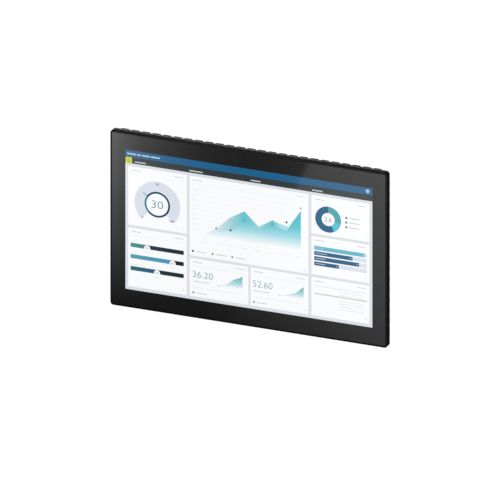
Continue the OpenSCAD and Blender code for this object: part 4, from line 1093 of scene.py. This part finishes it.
# %% Short bars in place of words
title_words = [(4.8, 5.2, 17.5), (24.3, 5.2, 6.6), (33, 5.2, 15.2), (50.2, 5.2, 17.4)]
tab_words = [(19.5, 19.9, 20.9), (124, 19.9, 26), (242, 19.9, 19), (360, 19.9, 20)]
drawn("bar_words", "#a9c4d8", bars(title_words, 3.0))
drawn("tab_words", "#c9d0d4", bars(tab_words, 2.0))
tile_words, tile_rules = [], []
for left, top, width, height in TILES.values():
    line = top + 6.2
    tile_words += bars([(left + 6.2, line, 10.5), (left + 17.8, line, 6.2)], 1.5)
    tile_words += bars([(left + width - 24, line, 17.5)], 1.2)
    tile_words += dots([(left + width - 6.4, top + height - 8)], 1.0, count=12)
    tile_rules += bars([(left + 5.5, top + 14.2, width - 11)], 0.5)
drawn("tile_words", "#c0c4cb", tile_words)
drawn("tile_rules", "#e3e5ea", tile_rules)

# %% Menu tile and status light
drawn("menu_tile", "#c3d233", [(block, 1.9, 13.5, 12, 12.5, 3)])
drawn("menu_strokes", "#7d8a35", bars([(5, 16.7 + 2.6 * row, 5.8) for row in range(3)], 0.9, 4))
drawn("status_light", "#8cbde2", dots([(466.6, 6.4)], 4.0, count=24))

# %% [markdown]
# ### Numbers
# A few plain numbers are drawn with Blender's own font, thinned a little, as on a dial. Text starts
# as a curve, so it is turned into a mesh first, and its place is put into its points.

# %% Numbers
def number(name, text, height, width, centre, layer, hex_colour, thin=0.0):
    """A number with a given height and width, centred at a place on the picture."""
    curve = bpy.data.curves.new(name, "FONT")
    curve.body = text
    curve.size = 1.0
    curve.extrude = 0.5
    curve.offset = -thin / height
    curve.resolution_u = 5
    flat = baked(placed(name, curve))
    low, high = ([pick(v.co[k] for v in flat.vertices) for k in (0, 1)] for pick in (min, max))
    for vert in flat.vertices:
        x = centre[0] + width * ((vert.co.x - low[0]) / (high[0] - low[0]) - 0.5)
        down = centre[1] - height * ((vert.co.y - low[1]) / (high[1] - low[1]) - 0.5)
        vert.co = on_glass(x, down, layer - 0.5 + vert.co.z)
    bm = bmesh.new()
    bm.from_mesh(flat)
    bpy.data.meshes.remove(flat)
    return shown(name, bm, lit(hex_colour))


# %% [markdown]
# ### The gauge
# A round gauge has a pale band over three quarters of a turn, a slim ring that is filled up to the
# value, a short hand that points to it, and the value in the middle.

# %% Gauge
GAUGE, GAUGE_SHARE = (62.7, 96.4), 0.30
SWEEP = 135  # the gauge runs from this many degrees left of the top to as many right of it
filled_to = -SWEEP + 2 * SWEEP * GAUGE_SHARE
drawn("gauge_band", "#d6dde8", [(arc_band, GAUGE, 25.5, 44, -SWEEP, SWEEP, 3)])
drawn("gauge_ring", "#0a3d5c", [(arc_band, GAUGE, 20.9, 24.8, filled_to, 360 - SWEEP, 3)])
hand = [on_arc(GAUGE, radius, filled_to + turn, filled_to + turn, 1)[0]
        for radius, turn in ((24.5, -1.7), (34, -1.0), (34, 1.0), (24.5, 1.7))]
drawn("gauge_fill", "#2b7a7c", [(arc_band, GAUGE, 20.9, 24.8, -SWEEP, filled_to, 4), (sheet, hand, 4)])
number("gauge_value", "30", 14.6, 22.6, (62.7, 96.6), 3, "#5f949d", 0.12)
for text, width, centre in (("0", 2.9, (34.2, 124.2)), ("50", 6.4, (62.7, 57.2)),
                            ("100", 9.2, (90.4, 124.2))):
    number("gauge_" + text, text, 4.0, width, centre, 4, "#646c7a", -0.1)
drawn("gauge_marks", "#b3b8c6", bars([(x - 1, 82.4, 2) for x in (28.6, 96.6)], 1.6, 4))

# %% [markdown]
# ### Sliders
# Each slider is a bar in two tones with a round white knob that hangs over its lower edge and shows
# its value.

# %% Sliders
SLIDERS = [  # top, height, share, the near tone, the far tone, and the value
    (177.2, 7.9, 0.312, ("#3a8b86", "#3a8788"), ("#143049", "#03202f"), "30"),
    (198.9, 7.8, 0.790, ("#4b99ab", "#4090b8"), ("#061e2b", "#001420"), "80"),
    (221.8, 7.9, 0.497, ("#1f6169", "#0f5a85"), ("#052d33", "#02252b"), "50"),
]
SLIDER_LEFT, SLIDER_W = 11.4, 102.2
knobs, knob_words = [], []
for index, (top, height, share, near, far, text) in enumerate(SLIDERS):
    split, right, foot = SLIDER_LEFT + share * SLIDER_W, SLIDER_LEFT + SLIDER_W, top + height
    for tone, start, end, colours in (("near", SLIDER_LEFT, split, near), ("far", split, right, far)):
        name = f"slider_{index}_{tone}"
        shown(name, shapes((block, start, top, end - start, height, 3)),
              lit_blend(name, list(zip((0, 1), colours)), start, end))
    knobs += dots([(split, foot - 1.6)], 5.9, 4, 36)
    number(f"slider_{index}_value", text, 3.0, 4.8, (split, foot - 1.9), 5, "#7f8894")
    knob_words += bars([(SLIDER_LEFT, top - 4.3, 12 + 2 * index)], 1.2)
    knob_words += bars([(split - 6, foot + 6.2, 12)], 0.9)
drawn("slider_knobs", "#f2f4f6", knobs)
drawn("slider_words", "#d9dbe1", knob_words)

# %% [markdown]
# ### The trend chart and the small ones
# A trend is a filled area under a line that fades out downwards. The larger chart has a pale area
# behind a stronger one, dots where it was measured, a faint grid, and a legend.

# %% Trend areas
def area(name, line, foot, stops, layer, top=None):
    """The area between a line and its foot, fading from the line's top to the foot."""
    outline = [*line, (line[-1][0], foot), (line[0][0], foot)]
    top = min(z for x, z in line) if top is None else top
    shown(name, shapes((sheet, outline, layer)), lit_blend(name, stops, top, foot, across=False))


TREND_LEFT, TREND_RIGHT, TREND_FOOT = 152, 338.5, 140
behind = [(TREND_LEFT, 139), (175.8, 124.7), (203.5, 98.6), (230, 82.6), (257.5, 108), (284, 91), (296, 95.5),
          (315, 98.6), (TREND_RIGHT, 64.5), (TREND_RIGHT, TREND_FOOT), (TREND_LEFT, TREND_FOOT)]
behind_tones = [(0, "#f0f5f6"), (0.13, "#cfe4e6"), (0.28, "#a3d2d8"), (0.42, "#5fc0ca"), (0.57, "#98d3dc"),
                (0.7, "#6ec2c6"), (0.79, "#9edcde"), (0.88, "#a8dfe2"), (1, "#48b2c2")]
shown("trend_behind", shapes((sheet, behind, 4)),
      lit_blend("trend_behind", behind_tones, TREND_LEFT, TREND_RIGHT))
ahead = [(160, 138.6), (175.8, 127.5), (203.5, 124.6), (217, 112), (230, 100.5), (244, 106), (257.5, 115.8),
         (271, 107), (284, 99), (298, 104.5), (311.5, 107), (322, 90), (TREND_RIGHT, 68.5)]
ahead_tones = [(0, "#49b7c8"), (0.35, "#63c2d1"), (0.65, "#a0d9e3"), (1, "#f2f7f9")]
area("trend_ahead", ahead, TREND_FOOT, ahead_tones, 5, 78)

# %% Grid, scale, dots and legend
drawn("trend_grid", "#e9ebf0", bars([(144, 57 + 9.2 * row, 198) for row in range(9)], 0.35))
scale_words = [(129.6, 56.4 + 9.2 * row, 8.5 if row % 3 else 11.5) for row in range(9)]
scale_words += [(147 + 25.7 * column, 153.2, 11.5) for column in range(8)]
drawn("trend_scale", "#dfe2e7", bars(scale_words, 1.1))
drawn("trend_dots_dark", "#3d4659", dots([(203.5, 123.3), (311, 90.9), (131, 174.3)], 2.1, 6)
      + dots([(338.4, 59.4)], 1.4, 6, 16))
drawn("trend_dots_teal", "#4d8f96", dots([(175.8, 124), (169, 174.3)], 1.9, 6))
drawn("trend_dots_blue", "#3ba5bd", dots([(230, 99.5), (284, 98.4)], 1.9, 6))
drawn("trend_dots_grey", "#8c929e", dots([(206.8, 174.3)], 2.0, 6))
drawn("trend_legend", "#bfc3cb", bars([(136.5, 173.7, 20), (174.6, 173.7, 22), (212.4, 173.7, 20)], 1.4))

# %% Meters with a number and a small area
METERS = {  # the number, its width and left edge, and the line over the area
    "meter_a": ("36.20", 38.6, 130.7,
                [(185, 231.4), (192.5, 230), (199.6, 225.7), (210.3, 216.7), (219.8, 213.1), (226.2, 208.6)]),
    "meter_b": ("52.60", 37.6, 246.4,
                [(301.7, 231.4), (316, 228.6), (327.9, 224.5), (335, 218.1), (343.8, 210.2)]),
}
meter_tones = [(0, "#76adae"), (0.3, "#88c2c3"), (0.5, "#9ccfd3"), (0.7, "#badde0"), (0.85, "#d6e9ec"),
               (1, "#ecf2f4")]
for name, (text, width, left, line) in METERS.items():
    number(name, text, 12.2, width, (left + width / 2, 218.3), 3, "#6c9fa7", 0.1)
    area(name + "_area", line, 232.4, meter_tones, 3)
meter_words = []
for left in (131.4, 247.2):
    meter_words += bars([(left, 231.2, 13), (left + 15, 231.2, 16.4)], 1.5) + bars([(left + 47, 233, 6)], 1.1)
    meter_words += bars([(left + 6.2, 253.2, 21)], 1.4) + bars([(left, 243.4, 92)], 0.4)
drawn("meter_words", "#c0c4cb", meter_words)
drawn("meter_dots", "#7f8794", dots([(131.8, 253.8), (248.5, 253.8)], 2.0))

# %% [markdown]
# ### Ring chart, bars and table
# The ring shows three shares of a whole, the bars compare four values on pale tracks, and the table
# is a set of ruled lines.

# %% Ring chart
RING = (390.9, 73.0)
RING_SHARES = [(0, 102, "#44a0a6"), (102, 152, "#4bbcd4"), (152, 360, "#025b85")]  # start, end, colour
for index, (start, end, colour) in enumerate(RING_SHARES):
    drawn(f"ring_{index}", colour, [(arc_band, RING, 12.4, 24.9, start, end, 3)])
number("ring_value", "2.6", 8.6, 13.4, RING, 3, "#596a73", 0.05)
drawn("ring_dots", "#4b5f7d", dots([(425.8, 64.3), (425.8, 73.1), (425.8, 82.2)], 2.1))
drawn("ring_words", "#bcc0c8", bars([(431.4, 63.6, 20), (431.4, 72.4, 20), (431.4, 81.5, 19.4)], 1.5))

# %% Bars
BARS = [  # top, end, colour, and the width of the label on it
    (127.1, 460.9, "#5ab6c6", 16),
    (137.1, 437.7, "#155c82", 21),
    (147.1, 450.3, "#115980", 19),
    (157.1, 411.5, "#13577c", 18),
]
BAR_LEFT, BAR_RIGHT, BAR_W = 364.2, 465.2, 7.5
for row, (top, end, colour, label) in enumerate(BARS):
    drawn(f"bar_{row}", colour, [(block, BAR_LEFT, top, end - BAR_LEFT, BAR_W, 3)])
drawn("bar_tracks", "#d8dee7", bars([(end, top, BAR_RIGHT - end) for top, end, colour, label in BARS], BAR_W))
marks = [(end - 5, top + 3, 3.2) for top, end, colour, label in BARS]
marks += [(BAR_LEFT + 3, top + 2.9, label) for top, end, colour, label in BARS]
drawn("bar_marks", "#a9bdd0", bars(marks, 1.5, 4))

# %% Table
drawn("table_head", "#c3c5ca", bars([(364.7, 217.6, 101)], 2.2))
rules = [(364.7, 203.5, 101)] + [(411.5, 203.5 + 5.4 * row, 47) for row in (1, 2, 4, 5, 6, 7)]
drawn("table_rules", "#e4e6ea", bars(rules, 1.6))
print("lit colours:", len(lit_colours))

# %% [markdown]
# ## The camera
# The camera has no perspective, as in a catalogue drawing, so parallel edges stay parallel. It
# stands to the right of the panel and above it.

# %% Camera
AZIMUTH, ELEVATION = math.radians(22.76), math.radians(22.2)
VIEW_W = 0.8857  # metres across the image
SHIFT_RIGHT, SHIFT_DOWN = 2.44 * MM, 19.45 * MM  # from the glass's middle to the image's
CAMERA_AWAY = 2.0
camera_data = bpy.data.cameras.new("camera")
camera_data.type = "ORTHO"
camera_data.ortho_scale = VIEW_W
camera_data.clip_end = 20.0
camera = placed("camera", camera_data)
bpy.context.scene.camera = camera
towards_camera = Vector((math.sin(AZIMUTH) * math.cos(ELEVATION), -math.cos(AZIMUTH) * math.cos(ELEVATION),
                         math.sin(ELEVATION)))
camera.rotation_mode = "QUATERNION"
camera.rotation_quaternion = (-towards_camera).to_track_quat("-Z", "Y")
right = camera.rotation_quaternion @ Vector((1, 0, 0))
up = camera.rotation_quaternion @ Vector((0, 1, 0))
glass_middle = at(0, GLASS_FRONT_D, 0) * MM
camera.location = glass_middle + right * SHIFT_RIGHT - up * SHIFT_DOWN + towards_camera * CAMERA_AWAY
print("camera at", [round(value, 3) for value in camera.location])

# %% [markdown]
# ## Soft lamps
# A wide lamp overhead lights the top, and another stands behind and to the left, so that its light
# grazes the ribs. They are large, so no shadow is hard, and dim enough that nothing clips.

# %% Lamps
def soft_lamp(name, place, size, power):
    """A rectangular lamp that faces the panel."""
    data = bpy.data.lights.new(name, "AREA")
    data.shape = "RECTANGLE"
    data.size, data.size_y = size
    data.energy = power
    lamp = placed(name, data)
    lamp.location = place
    lamp.rotation_mode = "QUATERNION"
    lamp.rotation_quaternion = (-Vector(place)).to_track_quat("-Z", "Y")


soft_lamp("overhead_lamp", (-0.5, 0.2, 1.5), (1.6, 1.4), 11)
soft_lamp("rear_lamp", (-1.1, 1.5, 0.3), (1.2, 1.0), 60)

# %% [markdown]
# ## What the black glass mirrors
# Black glass shows what stands before it, so a studio sets a card there. This one is grey, with a
# soft light from its upper left corner, a slow rise to the right, and one slanted edge, as of a
# window. A black cloth on the floor keeps the frame's lower edges dark. Only mirror-like surfaces see
# them, so they take no part in the lighting.

# %% Card and cloth
CARD_AWAY = 1.1  # metres in front of the glass
CARD_FOOT = -0.74  # the card stands on the cloth
CORNER_LIGHT = [(0, 1.0), (0.04, 0.7), (0.12, 0.45 / 1.1), (0.21, 0.26 / 1.1), (0.34, 0.1 / 1.1), (0.5, 0)]
SLOW_RISE = [(0, 0.2), (0.33, 0.19), (0.45, 0.29), (0.6, 0.42), (0.72, 0.54), (1, 0.9)]  # place, brightness
CORNER_GAIN, CORNER_FALL = 3.08, 1.2  # strength of the corner's light, and how fast it falls downwards
EDGE_SLANT, EDGE_AT, PANE_GAIN = 0.286, 0.433, 0.85  # the slanted edge, and the light beyond it
FADE_START, FADE_END = 0.53, 0.62  # the light ends softly a little outside the panel's mirror image
mirrored = Vector((-towards_camera.x, towards_camera.y, -towards_camera.z))
card_middle = glass_middle + mirrored * (CARD_AWAY / -mirrored.y)


def stage_sheet(name, corners, finish, mirrors_only=True):
    """A flat piece of the studio, which isn't part of the panel."""
    bm = bmesh.new()
    bm.faces.new([bm.verts.new(corner) for corner in corners])
    mesh = bpy.data.meshes.new(name)
    bm.to_mesh(mesh)
    bm.free()
    mesh.materials.append(finish)
    made = placed(name, mesh)
    if mirrors_only:
        made.visible_camera = made.visible_diffuse = made.visible_shadow = False


card_light, tree, shader = new_finish("light_on_the_card")
tree.nodes.remove(shader)
place = add(tree, "ShaderNodeSeparateXYZ", {"Vector": add(tree, "ShaderNodeTexCoord").outputs["Object"]})
# where a point of the card is mirrored on the panel, from 0 to 1 across and upwards
across, upward = (
    add(tree, "ShaderNodeMath", {0: place.outputs[axis], 1: 1 / size, 2: 0.5 - middle / size},
        operation="MULTIPLY_ADD")
    for axis, size, middle in (("X", 2 * half_w * MM, card_middle.x), ("Z", 2 * half_h * MM, card_middle.z)))
corner_light, slow_rise = (
    set_stops(add(tree, "ShaderNodeValToRGB", {"Fac": across}),
              [(where, (grey, grey, grey, 1)) for where, grey in stops])
    for stops in (CORNER_LIGHT, SLOW_RISE))
clamped = add(tree, "ShaderNodeClamp", {"Value": upward})
fall = add(tree, "ShaderNodeMath", {0: clamped, 1: CORNER_FALL}, operation="POWER")
corner_light = add(tree, "ShaderNodeMath", {0: corner_light, 1: fall}, operation="MULTIPLY")
slanted = add(tree, "ShaderNodeMath", {0: upward, 1: -EDGE_SLANT, 2: across}, operation="MULTIPLY_ADD")
beyond = add(tree, "ShaderNodeMath", {0: slanted, 1: EDGE_AT}, operation="GREATER_THAN")
pane = add(tree, "ShaderNodeMath", {0: beyond, 1: upward}, operation="MULTIPLY")
light = add(tree, "ShaderNodeMath", {0: corner_light, 1: CORNER_GAIN, 2: slow_rise}, operation="MULTIPLY_ADD")
light = add(tree, "ShaderNodeMath", {0: pane, 1: PANE_GAIN, 2: light}, operation="MULTIPLY_ADD")
for coordinate in (across, upward):
    off = add(tree, "ShaderNodeMath", {0: coordinate, 1: 0.5}, operation="SUBTRACT")
    off = add(tree, "ShaderNodeMath", {0: off}, operation="ABSOLUTE")
    faded = add(tree, "ShaderNodeMapRange", {"Value": off, "From Min": FADE_START, "From Max": FADE_END,
                                             "To Min": 1.0, "To Max": 0.0}, interpolation_type="SMOOTHSTEP")
    light = add(tree, "ShaderNodeMath", {0: light, 1: faded}, operation="MULTIPLY")
glow = add(tree, "ShaderNodeEmission", {"Strength": light})
fill(tree, tree.nodes["Material Output"], {"Surface": glow})
card_corners = [(x, card_middle.y, z) for x, z in rectangle(-1.3, 0.5, CARD_FOOT, 0.7)]
stage_sheet("mirror_card", card_corners, card_light)

black_cloth = grained("black_studio_cloth", "#080808", "#0c0c0c", 2.0, (0.9, 1.0), 0.1)
stage_sheet("dark_cloth", [(x, y, CARD_FOOT) for x, y in rectangle(-2.4, 1.6, -1.6, 2.4)], black_cloth)

# %% [markdown]
# ## Floor and backdrop
# The floor and the backdrop are plain white. The camera and mirrors see them at full white, while
# the light that they give the panel stays low. The floor adds its glow to the light that falls on
# it, so a shadow on it still shows.

# %% Floor and world
FLOOR_Z = -2.4  # low enough for a camera that looks up at the panel from below


def switched(tree, filling_in, looked_at):
    """One shader for light that fills in, another for what the camera, a mirror or glass looks at."""
    path = add(tree, "ShaderNodeLightPath").outputs
    seen = path["Is Camera Ray"]
    for other in (path["Is Glossy Ray"], path["Is Transmission Ray"]):
        seen = add(tree, "ShaderNodeMath", {0: seen, 1: other}, operation="MAXIMUM")
    return add(tree, "ShaderNodeMixShader", {0: seen, 1: filling_in, 2: looked_at})


white_floor, tree, shader = new_finish("plain_white_floor", Base_Color=linear("#f2f2f2"), Roughness=0.9)
glow = add(tree, "ShaderNodeEmission", {"Strength": 0.85})
both = add(tree, "ShaderNodeAddShader", {0: shader, 1: glow})
fill(tree, tree.nodes["Material Output"], {"Surface": switched(tree, shader, both)})
stage_sheet("floor", [(x, y, FLOOR_Z) for x, y in rectangle(-9, 9, -9, 9)], white_floor, mirrors_only=False)

world = bpy.data.worlds.new("studio")
bpy.context.scene.world = world
world.use_nodes = True
tree = world.node_tree
tree.nodes.clear()
soft_sky = add(tree, "ShaderNodeBackground", {"Color": (1, 1, 1, 1), "Strength": 0.22})
backdrop = add(tree, "ShaderNodeBackground", {"Color": (1, 1, 1, 1), "Strength": 1.0})
add(tree, "ShaderNodeOutputWorld", {"Surface": switched(tree, soft_sky, backdrop)})
bpy.context.scene.view_settings.view_transform = "Standard"
